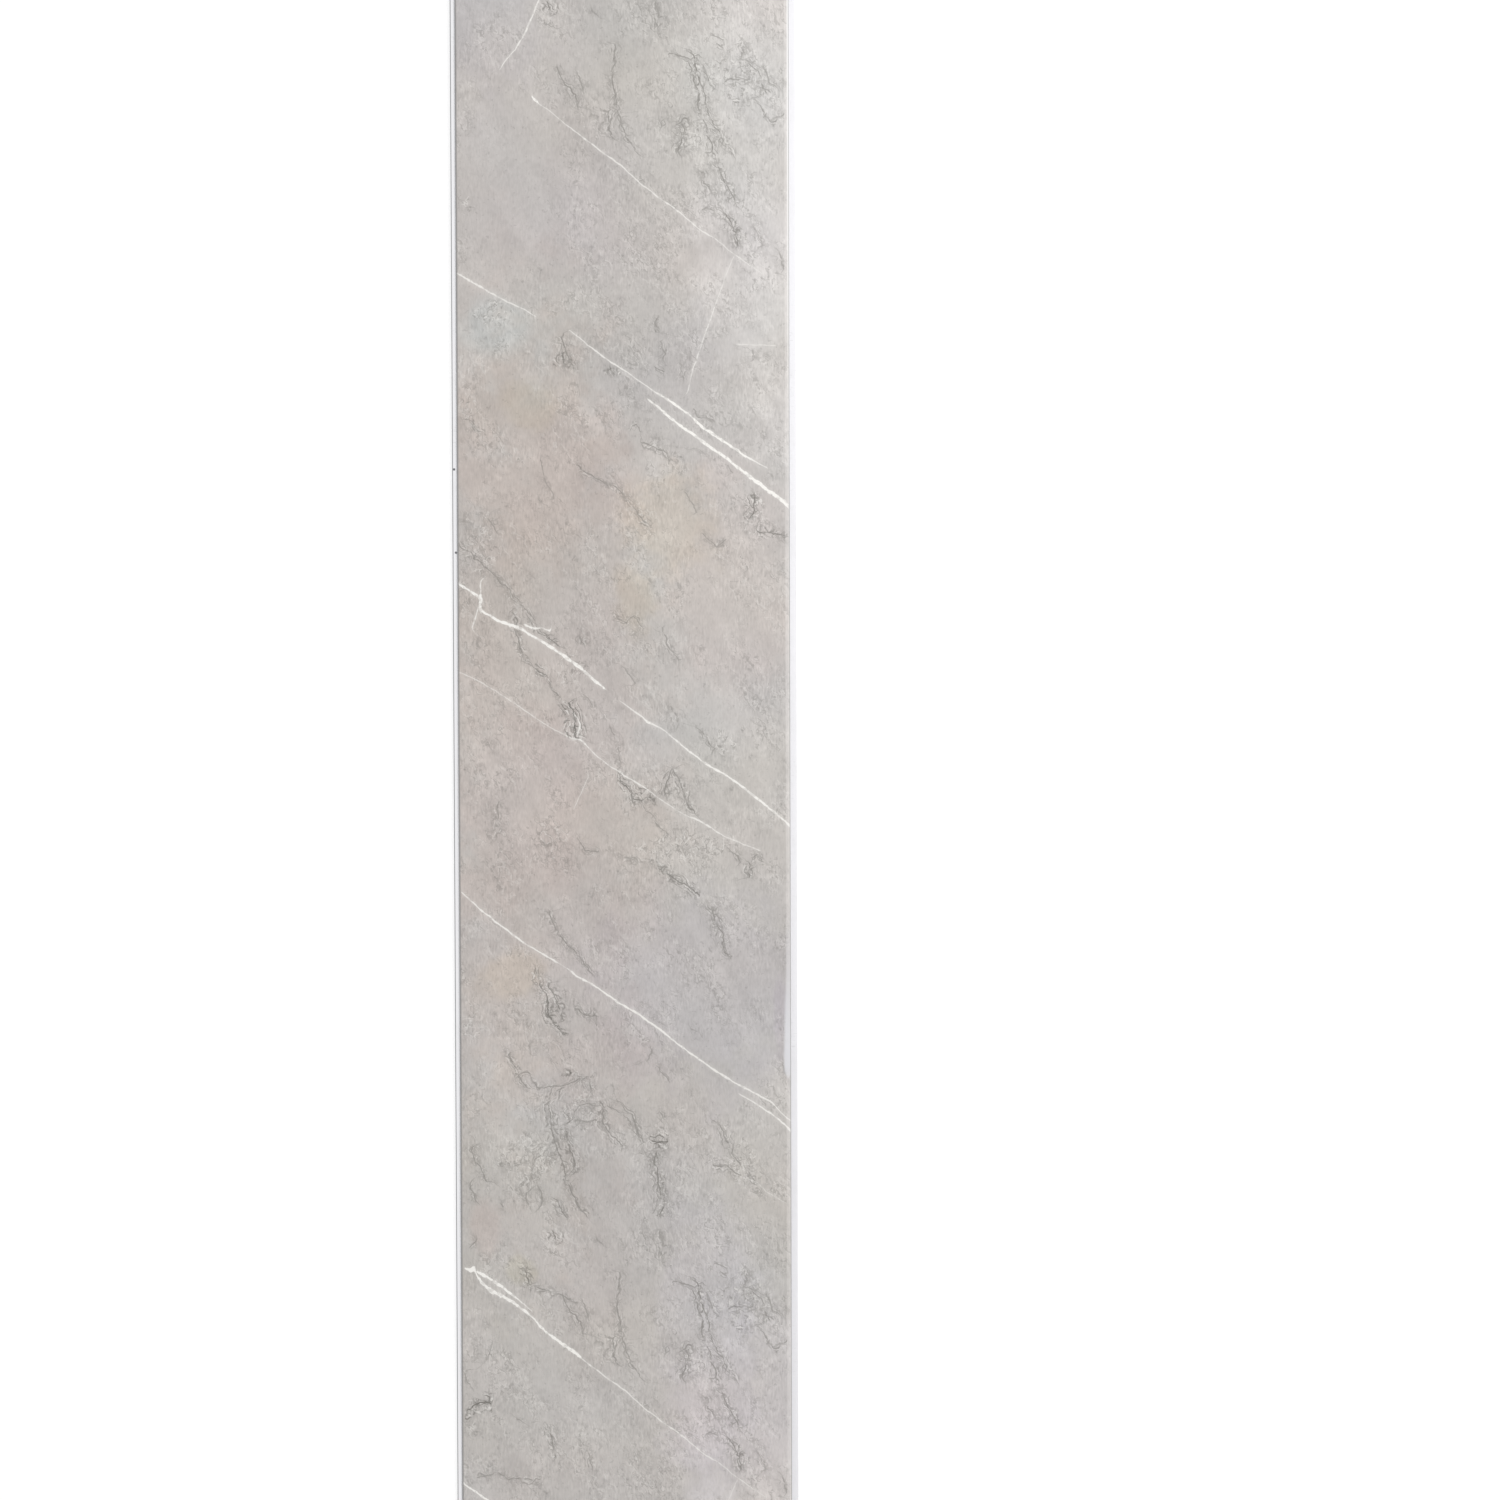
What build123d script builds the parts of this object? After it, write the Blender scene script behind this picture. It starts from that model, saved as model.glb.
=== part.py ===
"""Tongue-and-groove shower wall panel.

One length of rigid PVC profile, extruded in one piece: a decorated front skin, a plain back skin and a
row of hollow cells between them. One long edge is a hollow tongue. The other is a groove, under a thin
front lip, and its back wall runs on past the lip as a fixing flange. Panels are pushed together edge to
edge, so the tongue, the groove, the flange and the rebate that takes the next flange share their sizes.

The panel lies on its back. X runs across it from the tongue to the groove, Y along its length and Z up
through its thickness. The origin is on the back plane, at mid length and at the middle of the face.
Sizes are in millimetres.
"""

import os

from build123d import *

# Overall size
length = 2400.0
cover_width = 250.0  # width of the decorated face, and so the spacing of the panels on a wall
thickness = 8.0

# Walls of the hollow core
front_skin = 0.9
back_skin = 0.8
web = 0.6
cell_count = 24
cell_corner_radius = 0.5

# Groove edge
lip_thickness = 1.0
groove_depth = 4.8
groove_wall = 0.8  # web that closes the bottom of the groove
flange_thickness = 1.1
flange_reach = 5.0  # how far the flange stands out past the lip
groove_corner_radius = 0.3
flange_tip_radius = 0.4

# Tongue edge
joint_gap = 0.15  # clearance between the tongue and every wall of the groove that takes it
tongue_reach = 4.2
tongue_wall = 0.9
nose_radius = 1.2
edge_wall = 0.8  # webs under the edge of the face and at the end of the rebate
rebate_gap = 0.3  # clearance past the tip of the next panel's flange

# Locking bead under the lip, and the channel in the tongue that it clicks into
bead_inset = 0.8  # from the edge of the lip to the middle of the bead
bead_radius = 0.3

# Soft edges of the extrusion
face_edge_radius = 0.5
back_edge_radius = 0.3

# Lines of the section that follow from those sizes
face_left = -cover_width / 2
face_right = cover_width / 2
lip_underside = thickness - lip_thickness
groove_bottom = face_right - groove_depth
flange_tip = face_right + flange_reach
tongue_tip = face_left - tongue_reach
tongue_top = lip_underside - joint_gap
tongue_underside = flange_thickness + joint_gap
rebate_end = face_left + flange_reach + rebate_gap
cells_left = rebate_end + edge_wall
cells_right = groove_bottom - groove_wall
cell_top = thickness - front_skin
cell_width = (cells_right - cells_left - web * (cell_count - 1)) / cell_count
cell_pitch = cell_width + web


def add_box(left, right, bottom, top, mode=Mode.ADD):
    """A rectangle of the section, given by its four sides."""
    with Locations(((left + right) / 2, (bottom + top) / 2)):
        Rectangle(right - left, top - bottom, mode=mode)


def round_corners(radius, *places):
    """Rounds the corners of the outline that lie at these places."""
    for x, z in places:
        fillet(outline.vertices().sort_by_distance((x, z, 0))[0], radius)


def cut_cell(left, right, bottom, top):
    """One hollow of the core, with the small radius that the die leaves in its corners."""
    radius = min(cell_corner_radius, 0.45 * (right - left), 0.45 * (top - bottom))
    with Locations(((left + right) / 2, (bottom + top) / 2)):
        RectangleRounded(right - left, top - bottom, radius, mode=Mode.SUBTRACT)


# Outline of the section: the body with its tongue and flange, less the groove and the rebate
with BuildSketch(Plane.XZ) as outline:
    add_box(face_left, face_right, 0, thickness)
    add_box(tongue_tip, face_left, tongue_underside, tongue_top)
    add_box(face_right, flange_tip, 0, flange_thickness)
    add_box(groove_bottom, face_right, flange_thickness, lip_underside, mode=Mode.SUBTRACT)
    add_box(face_left, rebate_end, 0, tongue_underside, mode=Mode.SUBTRACT)

    round_corners(face_edge_radius, (face_left, thickness), (face_right, thickness))
    round_corners(nose_radius, (tongue_tip, tongue_top), (tongue_tip, tongue_underside))
    round_corners(groove_corner_radius, (groove_bottom, flange_thickness), (groove_bottom, lip_underside))
    round_corners(flange_tip_radius, (flange_tip, flange_thickness), (flange_tip, 0))
    round_corners(back_edge_radius, (rebate_end, 0), (rebate_end, tongue_underside))

    # The bead is half a circle on the underside of the lip. The lip closes against the edge of the next
    # face, so the channel stands as far from that edge as the bead, and is one gap wider all round.
    with Locations((face_right - bead_inset, lip_underside)):
        Circle(bead_radius)
    with Locations((face_left - bead_inset, lip_underside)):
        Circle(bead_radius + joint_gap, mode=Mode.SUBTRACT)

# The hollow section: a cell in the tongue, a shallow one over the rebate and the row of full cells
with BuildSketch(Plane.XZ) as section:
    add(outline.sketch_local)
    cut_cell(tongue_tip + tongue_wall, face_left, tongue_underside + tongue_wall, tongue_top - tongue_wall)
    cut_cell(face_left + edge_wall, rebate_end, tongue_underside + back_skin, cell_top)
    for index in range(cell_count):
        cell_left = cells_left + index * cell_pitch
        cut_cell(cell_left, cell_left + cell_width, back_skin, cell_top)

with BuildPart() as panel:
    extrude(section.sketch, amount=length / 2, both=True)

panel.part.label = "panel"

os.makedirs("parts", exist_ok=True)
export_step(panel.part, "parts/panel.step")
print(f"cell {cell_width:.2f} mm wide, section area {panel.part.volume / length:.1f} mm2")
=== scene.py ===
"""Dresses a tongue-and-groove shower wall panel: one hollow PVC extrusion with a grey marble print.

The panel lies on its back. X runs across it from the tongue to the groove, Y along its length and Z up
through its thickness. Blender works in metres, and the sizes of the panel and its print are written in
millimetres. The print is placed by two measures: across, which is X, and down, which runs towards -Y
from a line near the top of the stretch that the camera sees.
"""

import math
from types import SimpleNamespace

import bmesh
import bpy
from bpy.props import FloatProperty, FloatVectorProperty, IntProperty, PointerProperty
from mathutils import Euler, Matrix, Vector


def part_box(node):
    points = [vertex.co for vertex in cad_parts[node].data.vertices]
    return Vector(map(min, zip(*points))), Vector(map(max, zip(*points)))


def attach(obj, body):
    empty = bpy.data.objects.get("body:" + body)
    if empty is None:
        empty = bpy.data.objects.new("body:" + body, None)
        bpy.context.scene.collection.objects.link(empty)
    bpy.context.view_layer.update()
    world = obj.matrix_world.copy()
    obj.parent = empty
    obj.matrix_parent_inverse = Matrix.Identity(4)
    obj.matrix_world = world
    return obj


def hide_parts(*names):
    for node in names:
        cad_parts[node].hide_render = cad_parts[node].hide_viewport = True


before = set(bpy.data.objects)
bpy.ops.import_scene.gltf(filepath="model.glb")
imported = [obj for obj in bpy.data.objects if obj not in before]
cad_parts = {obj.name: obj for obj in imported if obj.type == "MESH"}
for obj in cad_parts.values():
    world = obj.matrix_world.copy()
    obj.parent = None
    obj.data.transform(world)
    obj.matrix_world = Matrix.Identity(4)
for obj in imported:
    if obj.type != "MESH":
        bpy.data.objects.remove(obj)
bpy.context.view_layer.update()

bl_info = {
    "name": "Shower Wall Panel",
    "version": (1, 0, 0),
    "blender": (4, 5, 0),
    "location": "3D View > Sidebar > Wall Panel",
    "description": "Makes a hollow tongue-and-groove wall panel with a marble print, and its studio",
    "category": "Add Mesh",
}

MM = 0.001
PANEL_LOW, PANEL_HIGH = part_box("panel")
PANEL_LENGTH = PANEL_HIGH.y - PANEL_LOW.y
PANEL_THICKNESS = PANEL_HIGH.z - PANEL_LOW.z

# How the print repeats along the panel, and where its down measure starts
PRINT_REPEAT = 925 * MM
LONG_REPEAT = 2 * PRINT_REPEAT
PRINT_TOP = 569 * MM

# White veins, as points of across, down and width in millimetres. They run level enough to give one
# down for each across, and come back in every repeat.
VEINS = (
    ((-67, 79, 1.8), (-64, 82, 1.5), (-62, 84, 0.5), (-53, 90, 0.4), (-44, 98, 0.5), (-31, 108, 0.7),
     (-16, 119, 0.7), (-1, 130, 0.7), (14, 144, 0.6), (30, 156, 0.7), (43, 165, 0.8), (58, 178, 0.6),
     (71, 186, 0.5), (84, 197, 0.5), (105, 211, 0.2)),
    ((-41, 252, 0.4), (-18, 271, 0.8), (5, 286, 0.7), (26, 301, 0.8), (35, 306, 1.4), (50, 317, 1.0),
     (61, 327, 1.7), (76, 337, 1.6), (89, 346, 1.4), (108, 357, 0.4)),
    ((19, 305, 0.9), (37, 320, 1.5), (57, 335, 1.6), (78, 350, 1.8), (99, 366, 2.0), (118, 380, 2.2),
     (125, 386, 2.2)),
    ((-125, 443, 1.3), (-109, 453, 1.4), (-108, 463, 1.3), (-95, 471, 1.4), (-87, 474, 1.8),
     (-79, 476, 1.8), (-72, 481, 1.2), (-61, 487, 1.5), (-45, 498, 1.8), (-34, 506, 1.8),
     (-23, 516, 1.7), (-15, 522, 1.5)),
    ((-3, 532, 0.4), (5, 538, 0.7), (14, 544, 0.8), (17, 547, 1.4), (21, 549, 0.8), (30, 554, 0.6),
     (41, 563, 1.0), (58, 577, 1.0), (70, 584, 1.2), (83, 592, 1.1), (102, 607, 1.2), (125, 626, 1.1)),
    ((-124, 510, 0.4), (-110, 516, 0.45), (-95, 525, 0.4), (-76, 538, 0.5), (-57, 551, 0.4),
     (-41, 559, 0.5), (-33, 561, 1.0), (-19, 575, 0.5), (-3, 586, 0.7), (15, 597, 0.8), (28, 607, 0.5),
     (46, 618, 0.5), (56, 622, 0.9), (77, 635, 0.6), (102, 645, 0.5)),
    ((-123, 676, 0.8), (-116, 683, 0.9), (-103, 694, 1.0), (-77, 714, 1.0), (-53, 728, 0.9),
     (-50, 730, 0.15), (-45, 733, 0.15), (-42, 735, 0.9), (-37, 739, 1.0), (-20, 749, 1.0), (-5, 760, 1.1),
     (11, 769, 1.0), (27, 781, 1.0), (46, 796, 1.0), (56, 803, 0.9), (73, 815, 0.9), (94, 827, 0.9),
     (110, 835, 0.8), (118, 844, 0.7), (125, 850, 1.0)),
    ((86, 829, 0.5), (96, 835, 0.7), (105, 841, 0.9), (115, 848, 1.0), (125, 857, 1.1)),
    ((-75, 474, 1.0), (-68, 477, 1.3), (-62, 476, 0.5), (-55, 479, 1.2)),
    ((86, 264, 0.35), (114, 265, 0.35)),
    ((88, 893, 0.3), (99, 896, 0.3), (107, 904, 0.3), (121, 912, 0.25)),
)
# Veins that come back only in every second repeat
RARE_VEINS = (
    ((-125, 210, 0.9), (-109, 219, 0.9), (-92, 229, 0.7), (-73, 238, 0.6), (-65, 243, 0.5)),
    ((-122, 961, 1.2), (-118, 962, 2.2), (-115, 962, 3.0), (-113, 967, 2.2), (-110, 972, 2.2),
     (-103, 978, 2.4), (-95, 982, 2.2), (-86, 987, 1.6), (-72, 998, 1.2), (-61, 1010, 1.5),
     (-46, 1021, 1.9), (-39, 1026, 2.0), (-35, 1029, 1.8)),
    ((-113, 964, 1.6), (-105, 968, 1.7), (-95, 975, 1.5), (-86, 982, 1.2), (-77, 989, 0.8),
     (-72, 994, 0.5)),
    ((-125, 1125, 1.1), (-106, 1138, 1.2), (-85, 1152, 1.2), (-65, 1166, 1.0)),
    ((-15, 1447, 1.7), (10, 1463, 1.8), (45, 1486, 1.7), (85, 1514, 1.8), (125, 1541, 1.9)),
)
# Veins and ticks steep enough to give one across for each down
STEEP_VEINS = (
    ((84, 197, 0.3), (79, 208, 0.35), (70, 233, 0.5), (61, 258, 0.55), (52, 284, 0.5), (48, 301, 0.4)),
    ((-108, 441, 0.7), (-108, 449, 0.7)),
    ((-108, 452, 1.6), (-108, 464, 1.5)),
    ((-110, 462, 0.8), (-115, 478, 0.6)),
    ((-36, 543, 0.7), (-33, 549, 0.9), (-36, 558, 0.8)),
    ((-27, 588, 0.35), (-38, 612, 0.35)),
)
RARE_STEEP_VEINS = (
    ((-62, 7, 0.9), (-72, 30, 0.9), (-79, 42, 0.8), (-87, 51, 0.8), (-91, 57, 0.6)),
)

# Dark cracks: how strong each one is, and its points of across and down in millimetres
STEEP_CRACKS = (
    (1.0, (48, 51), (52, 57), (53, 63), (55, 70), (57, 76), (57, 88), (59, 94), (62, 100), (64, 105)),
    (1.0, (65, 107), (67, 118), (70, 127), (75, 137), (78, 144), (82, 150), (85, 159)),
    (1.1, (69, 164), (78, 166), (81, 172), (83, 178), (86, 182), (88, 190)),
    (0.9, (-47, 254), (-44, 266), (-42, 273), (-36, 284)),
    (0.7, (-62, 350), (-60, 365), (-54, 375), (-51, 380)),
    (0.8, (-104, 388), (-101, 394), (-95, 404)),
    (1.0, (-86, 463), (-81, 470), (-81, 482), (-78, 492), (-76, 499), (-70, 505), (-64, 508)),
    (1.6, (-45, 530), (-41, 537), (-38, 541), (-38, 550), (-37, 560)),
    (0.7, (-10, 552), (-4, 569), (-4, 580)),
    (0.8, (-96, 607), (-96, 620), (-97, 633)),
    (0.9, (79, 643), (85, 647), (87, 654)),
    (1.0, (-58, 690), (-55, 699), (-50, 708), (-44, 715), (-37, 723), (-29, 732), (-25, 739)),
    (0.8, (21, 795), (18, 800), (17, 806)),
    (1.0, (-60, 833), (-58, 840), (-56, 850), (-55, 859), (-52, 871), (-48, 880), (-46, 890),
     (-43, 899), (-39, 908), (-35, 916), (-29, 922)),
    (0.7, (-23, 12), (-18, 20)),
    (0.8, (26, 7), (28, 19), (26, 34)),
    (1.0, (59, 66), (62, 81), (63, 88), (66, 94), (70, 100), (74, 108), (77, 114), (82, 120), (85, 125)),
    (0.9, (62, 133), (61, 137), (58, 140), (64, 144), (66, 150)),
    (1.3, (99, 374), (99, 382), (98, 390), (93, 395)),
    (0.8, (28, 476), (31, 487), (38, 497), (42, 503)),
    (0.7, (0, 504), (3, 512), (11, 520)),
    (0.8, (-29, 527), (-25, 531), (-22, 539)),
    (0.9, (57, 550), (60, 558), (66, 567), (71, 572)),
    (1.1, (93, 654), (94, 666)),
    (1.0, (60, 685), (66, 688), (68, 698), (73, 707), (74, 717), (80, 728)),
    (1.3, (-68, 734), (-65, 745), (-61, 753), (-58, 762), (-58, 769), (-54, 776), (-48, 781), (-43, 786)),
    (1.0, (-91, 796), (-87, 802), (-82, 810), (-79, 819), (-74, 824)),
    (1.1, (24, 872), (21, 880), (24, 891), (26, 903), (28, 910), (26, 922)),
    (0.9, (-49, 55), (-46, 63), (-40, 71), (-35, 79), (-32, 88)),
    (0.8, (-3, 90), (1, 102), (4, 109), (8, 118), (12, 122)),
    (0.7, (42, 371), (50, 380), (56, 391)),
    (1.2, (-74, 468), (-66, 476), (-60, 482), (-54, 484), (-50, 491)),
    (0.7, (34, 534), (38, 542), (42, 552)),
    (1.1, (-60, 742), (-56, 749), (-52, 757), (-50, 760), (-49, 768), (-46, 774)),
    (1.0, (-28, 819), (-27, 823), (-28, 829)),
    (1.7, (-41, 811), (-41, 815)),
    (1.7, (-32, 815), (-32, 819)),
    (1.5, (-41, 846), (-40, 851)),
    (1.0, (-20, 833), (-16, 840), (-19, 850), (-12, 859), (-5, 867), (2, 872)),
    (0.9, (-5, 40), (-5, 51), (-7, 63), (-5, 77), (-3, 90), (-2, 96)),
    (1.0, (48, 98), (46, 105), (44, 112), (42, 118), (44, 122)),
    (0.8, (55, 342), (61, 346)),
    (1.1, (35, 582), (32, 592), (30, 605)),
    (1.0, (36, 582), (40, 590), (44, 598), (49, 612), (56, 620)),
    (0.9, (-122, 317), (-114, 321), (-110, 329)),
    (0.8, (81, 358), (83, 363)),
    (1.0, (-34, 482), (-30, 489)),
    (0.9, (3, 842), (9, 853), (10, 863)),
    (0.9, (-72, 888), (-71, 893)),
    (0.9, (61, 51), (62, 59), (63, 64), (68, 70), (71, 74)),
    (0.8, (-34, 58), (-33, 63), (-29, 75)),
    (1.0, (105, 71), (109, 77)),
    (0.9, (29, 96), (30, 101)),
    (1.0, (-46, 853), (-44, 865), (-41, 874), (-38, 884), (-37, 889)),
    (0.9, (65, 849), (70, 851), (73, 855), (79, 872), (86, 882), (89, 894)),
    (0.9, (-54, 823), (-58, 827), (-58, 838)),
    (0.9, (-53, 823), (-50, 827), (-51, 835)),
    (0.9, (-42, 895), (-40, 907), (-32, 920)),
    (0.7, (-11, 824), (-3, 838), (5, 846), (14, 868)),
    (0.8, (-70, 899), (-76, 904), (-76, 912), (-72, 917)),
    (0.8, (-68, 899), (-63, 904), (-63, 912), (-68, 917)),
    (1.1, (-54, 908), (-50, 916), (-46, 923)),
    (1.2, (-56, 8), (-52, 12), (-55, 17)),
    (1.2, (-58, 21), (-58, 25)),
    (0.9, (-117, 867), (-115, 876), (-108, 890), (-105, 896)),
    (0.9, (-120, 893), (-116, 904), (-111, 912)),
    (0.8, (118, 805), (120, 813)),
    (0.8, (27, 840), (29, 849)),
    (0.7, (-73, 788), (-72, 799)),
    (0.9, (-8, 85), (-11, 91), (-10, 105), (-8, 110)),
    (0.9, (91, 50), (95, 55), (99, 58), (103, 63), (106, 72), (107, 80)),
    (0.8, (106, 58), (109, 66), (118, 74)),
    (0.7, (98, 176), (103, 185), (107, 192)),
    (0.8, (117, 193), (120, 201), (122, 209)),
    (0.9, (24, 245), (26, 252), (24, 256)),
    (0.8, (26, 262), (31, 269), (29, 275)),
    (1.2, (-44, 270), (-46, 277), (-43, 282)),
    (1.1, (-43, 271), (-40, 276), (-38, 282)),
    (1.2, (-9, 281), (-8, 286)),
    (0.8, (96, 266), (99, 271), (98, 277)),
    (0.8, (43, 276), (45, 283), (45, 289)),
    (0.8, (59, 132), (60, 138), (59, 143), (63, 149)),
    (1.2, (52, 44), (54, 52), (57, 62), (60, 71)),
)
LEVEL_CRACKS = (
    (0.9, (-84, 813), (-73, 814), (-67, 823), (-50, 823), (-31, 817)),
    (0.8, (-73, 893), (-69, 879), (-61, 874), (-53, 879)),
    (0.8, (-14, 838), (-6, 841), (2, 849), (9, 860), (14, 874), (22, 882)),
    (0.8, (-3, 836), (5, 843), (11, 854)),
    (0.8, (-40, 843), (-36, 838), (-28, 836), (-20, 838), (-15, 843)),
    (0.8, (-39, 848), (-31, 850), (-22, 849)),
    (0.9, (64, 882), (77, 885), (88, 893)),
    (1.1, (88, 893), (94, 892), (99, 896)),
    (0.8, (-96, 912), (-92, 915)),
    (0.9, (40, 102), (47, 95), (52, 98), (60, 96)),
    (0.8, (66, 33), (71, 34), (77, 37)),
    (0.8, (77, 67), (82, 65), (88, 66), (96, 66)),
    (0.9, (25, 281), (28, 283), (32, 283)),
    (1.1, (-66, 507), (-61, 510), (-57, 515), (-54, 522), (-48, 528)),
    (1.3, (-6, 584), (0, 596), (6, 604), (12, 606), (18, 603), (24, 607)),
    (0.9, (-124, 413), (-108, 427), (-89, 445), (-75, 463), (-66, 471)),
    (0.9, (-35, 354), (-28, 361), (-18, 365), (-9, 369), (0, 376), (6, 384), (12, 393), (21, 400)),
    (1.15, (24, 656), (31, 662), (41, 668), (49, 673), (56, 679)),
    (0.8, (57, 404), (65, 412), (70, 416), (76, 410)),
    (0.9, (99, 81), (105, 90), (111, 97), (115, 97), (121, 92)),
    (0.9, (-35, 637), (-29, 645), (-20, 646)),
    (0.8, (9, 607), (15, 611), (20, 618), (27, 627), (33, 634)),
    (0.8, (33, 47), (45, 49), (51, 51), (54, 48), (58, 48), (61, 52)),
    (0.9, (70, 40), (76, 43)),
    (1.0, (94, 651), (100, 648), (105, 653)),
    (1.0, (-39, 764), (-31, 768), (-23, 769), (-21, 780)),
    (0.8, (-8, 463), (-4, 470), (2, 474), (7, 468), (11, 472), (15, 478)),
    (1.4, (18, 863), (24, 866), (32, 865)),
    (0.8, (52, 312), (57, 318), (69, 320)),
    (1.1, (100, 404), (110, 406), (124, 409)),
    (0.7, (-5, 649), (22, 652)),
    (0.9, (5, 327), (9, 324), (12, 327), (14, 338), (20, 339), (27, 342), (31, 344), (35, 352)),
    (0.8, (59, 163), (64, 161), (69, 164)),
    (0.6, (48, 780), (55, 782), (58, 787)),
    (0.8, (24, 808), (34, 819)),
)
# Cracks that come back only in every second repeat
RARE_STEEP_CRACKS = (
    (1.0, (-61, 1079), (-58, 1090), (-55, 1100), (-56, 1109)),
    (1.0, (-103, 1020), (-105, 1032)),
    (1.1, (-76, 961), (-75, 973), (-70, 978)),
    (0.8, (-124, 1040), (-118, 1054)),
    (0.7, (-86, 1074), (-75, 1082)),
    (0.8, (-34, 1092), (-28, 1104), (-27, 1118)),
)
RARE_LEVEL_CRACKS = (
    (0.9, (-75, 973), (-58, 979), (-48, 982), (-37, 987)),
    (1.4, (-122, 1070), (-115, 1066), (-108, 1062), (-102, 1064)),
    (0.8, (-113, 1121), (-100, 1117), (-90, 1122), (-66, 1122)),
    (0.9, (-119, 944), (-114, 939)),
)
# Tangles of fine cracks: across and down of the middle, and half the width and height in millimetres
TANGLES = (
    (88, 62, 26, 30), (50, 108, 16, 16), (18, 600, 10, 9), (-56, 634, 18, 20), (-31, 843, 22, 18),
    (76, 563, 13, 13), (-118, 158, 9, 12), (-117, 310, 10, 14), (-108, 418, 18, 22), (-117, 778, 9, 18),
    (-75, 880, 26, 26), (20, 872, 14, 16), (-58, 757, 12, 22), (-40, 508, 14, 22), (-36, 553, 12, 12),
    (48, 642, 50, 12), (-98, 240, 20, 12), (100, 400, 18, 10), (88, 880, 14, 24),
)
# Soft tinted areas of the print: middle, half width and half height in millimetres, and colour factors. Two,
# marked below, are painted light and shade.
TINTS = (
    ((-60, 560), (95, 360), (1.025, 0.993, 0.976)),
    ((-28, 420), (38, 800), (0.97, 0.962, 0.965)),
    # Painted sheen: the print lighter at the top right
    ((114, 110), (68, 240), (1.17, 1.18, 1.19)),
    ((100, 1080), (70, 110), (1.13, 1.135, 1.16)),
    ((-96, 250), (32, 24), (0.965, 1.025, 1.05)),
    ((-70, 340), (66, 96), (0.98, 0.95, 0.93)),
    ((-70, 308), (24, 22), (0.985, 0.975, 0.93)),
    ((-100, 420), (44, 130), (0.955, 0.945, 0.945)),
    ((35, 400), (38, 42), (1.04, 1.01, 0.95)),
    ((9, 455), (18, 34), (0.985, 0.955, 0.9)),
    ((80, 440), (56, 90), (1.022, 0.992, 0.985)),
    ((14, 282), (60, 62), (0.925, 0.925, 0.935)),
    ((-30, 150), (60, 80), (0.975, 0.975, 0.98)),
    ((-100, 15), (50, 60), (1.0, 1.0, 1.03)),
    ((-80, 610), (60, 90), (1.0, 0.97, 0.965)),
    ((58, 750), (90, 80), (0.95, 0.948, 0.985)),
    ((-83, 762), (36, 58), (1.0, 0.99, 0.98)),
    ((-85, 900), (50, 110), (1.005, 0.995, 0.975)),
    ((62, 1020), (40, 150), (1.01, 1.01, 1.045)),
    # Painted shade beside the painted highlight on the bent stretch of the lip
    ((117, 772), (6, 30), (0.95, 0.93, 0.97)),
    ((-80, 962), (13, 12), (0.99, 0.985, 0.92)),
    ((-106, 930), (14, 26), (1.02, 0.97, 0.96)),
    ((-84, 738), (26, 22), (1.03, 1.005, 0.955)),
)
# A painted highlight along the bent stretch of the lip: by down, how wide it is, both in millimetres, and
# then how strong, from 0 to 1
LIP_HIGHLIGHT_WIDTH = (
    (690, 3.4), (745, 3.6), (762, 4.6), (785, 4.8), (800, 5.2), (812, 5.0), (818, 2.5), (830, 2.5),
)
LIP_HIGHLIGHT_STRENGTH = (
    (690, 0.0), (700, 0.1), (730, 0.3), (745, 0.4), (760, 0.6), (785, 0.8), (808, 0.85), (814, 0.6),
    (818, 0.05), (830, 0.0),
)
# Nicks in the tongue, by across and down in millimetres
TONGUE_NICKS = ((-127.6, 357), (-126.5, 419.6))
# Where the ground is calmest: middle, and half its width and height in millimetres
CALM = ((-84, 150), (46, 84))


# The kinds of setting that a user can change, each with its unit or subtype
def in_mm(name, description, millimetres):
    return FloatProperty(name=name, description=description, default=millimetres * MM, unit="LENGTH")


def in_metres(name, description, metres):
    return FloatProperty(name=name, description=description, default=metres, unit="LENGTH")


def in_watts(name, description, watts):
    return FloatProperty(name=name, description=description, default=watts, unit="POWER")


def as_share(name, description, default):
    return FloatProperty(name=name, description=description, default=default, subtype="FACTOR", min=0, max=1)


def in_degrees(name, description, degrees):
    return FloatProperty(name=name, description=description, default=math.radians(degrees), subtype="ANGLE")


def as_place(name, description, default):
    return FloatVectorProperty(name=name, description=description, default=default, subtype="TRANSLATION")


def as_colour(name, description, default):
    return FloatVectorProperty(
        name=name, description=description, default=default, subtype="COLOR", min=0, max=1
    )


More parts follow.
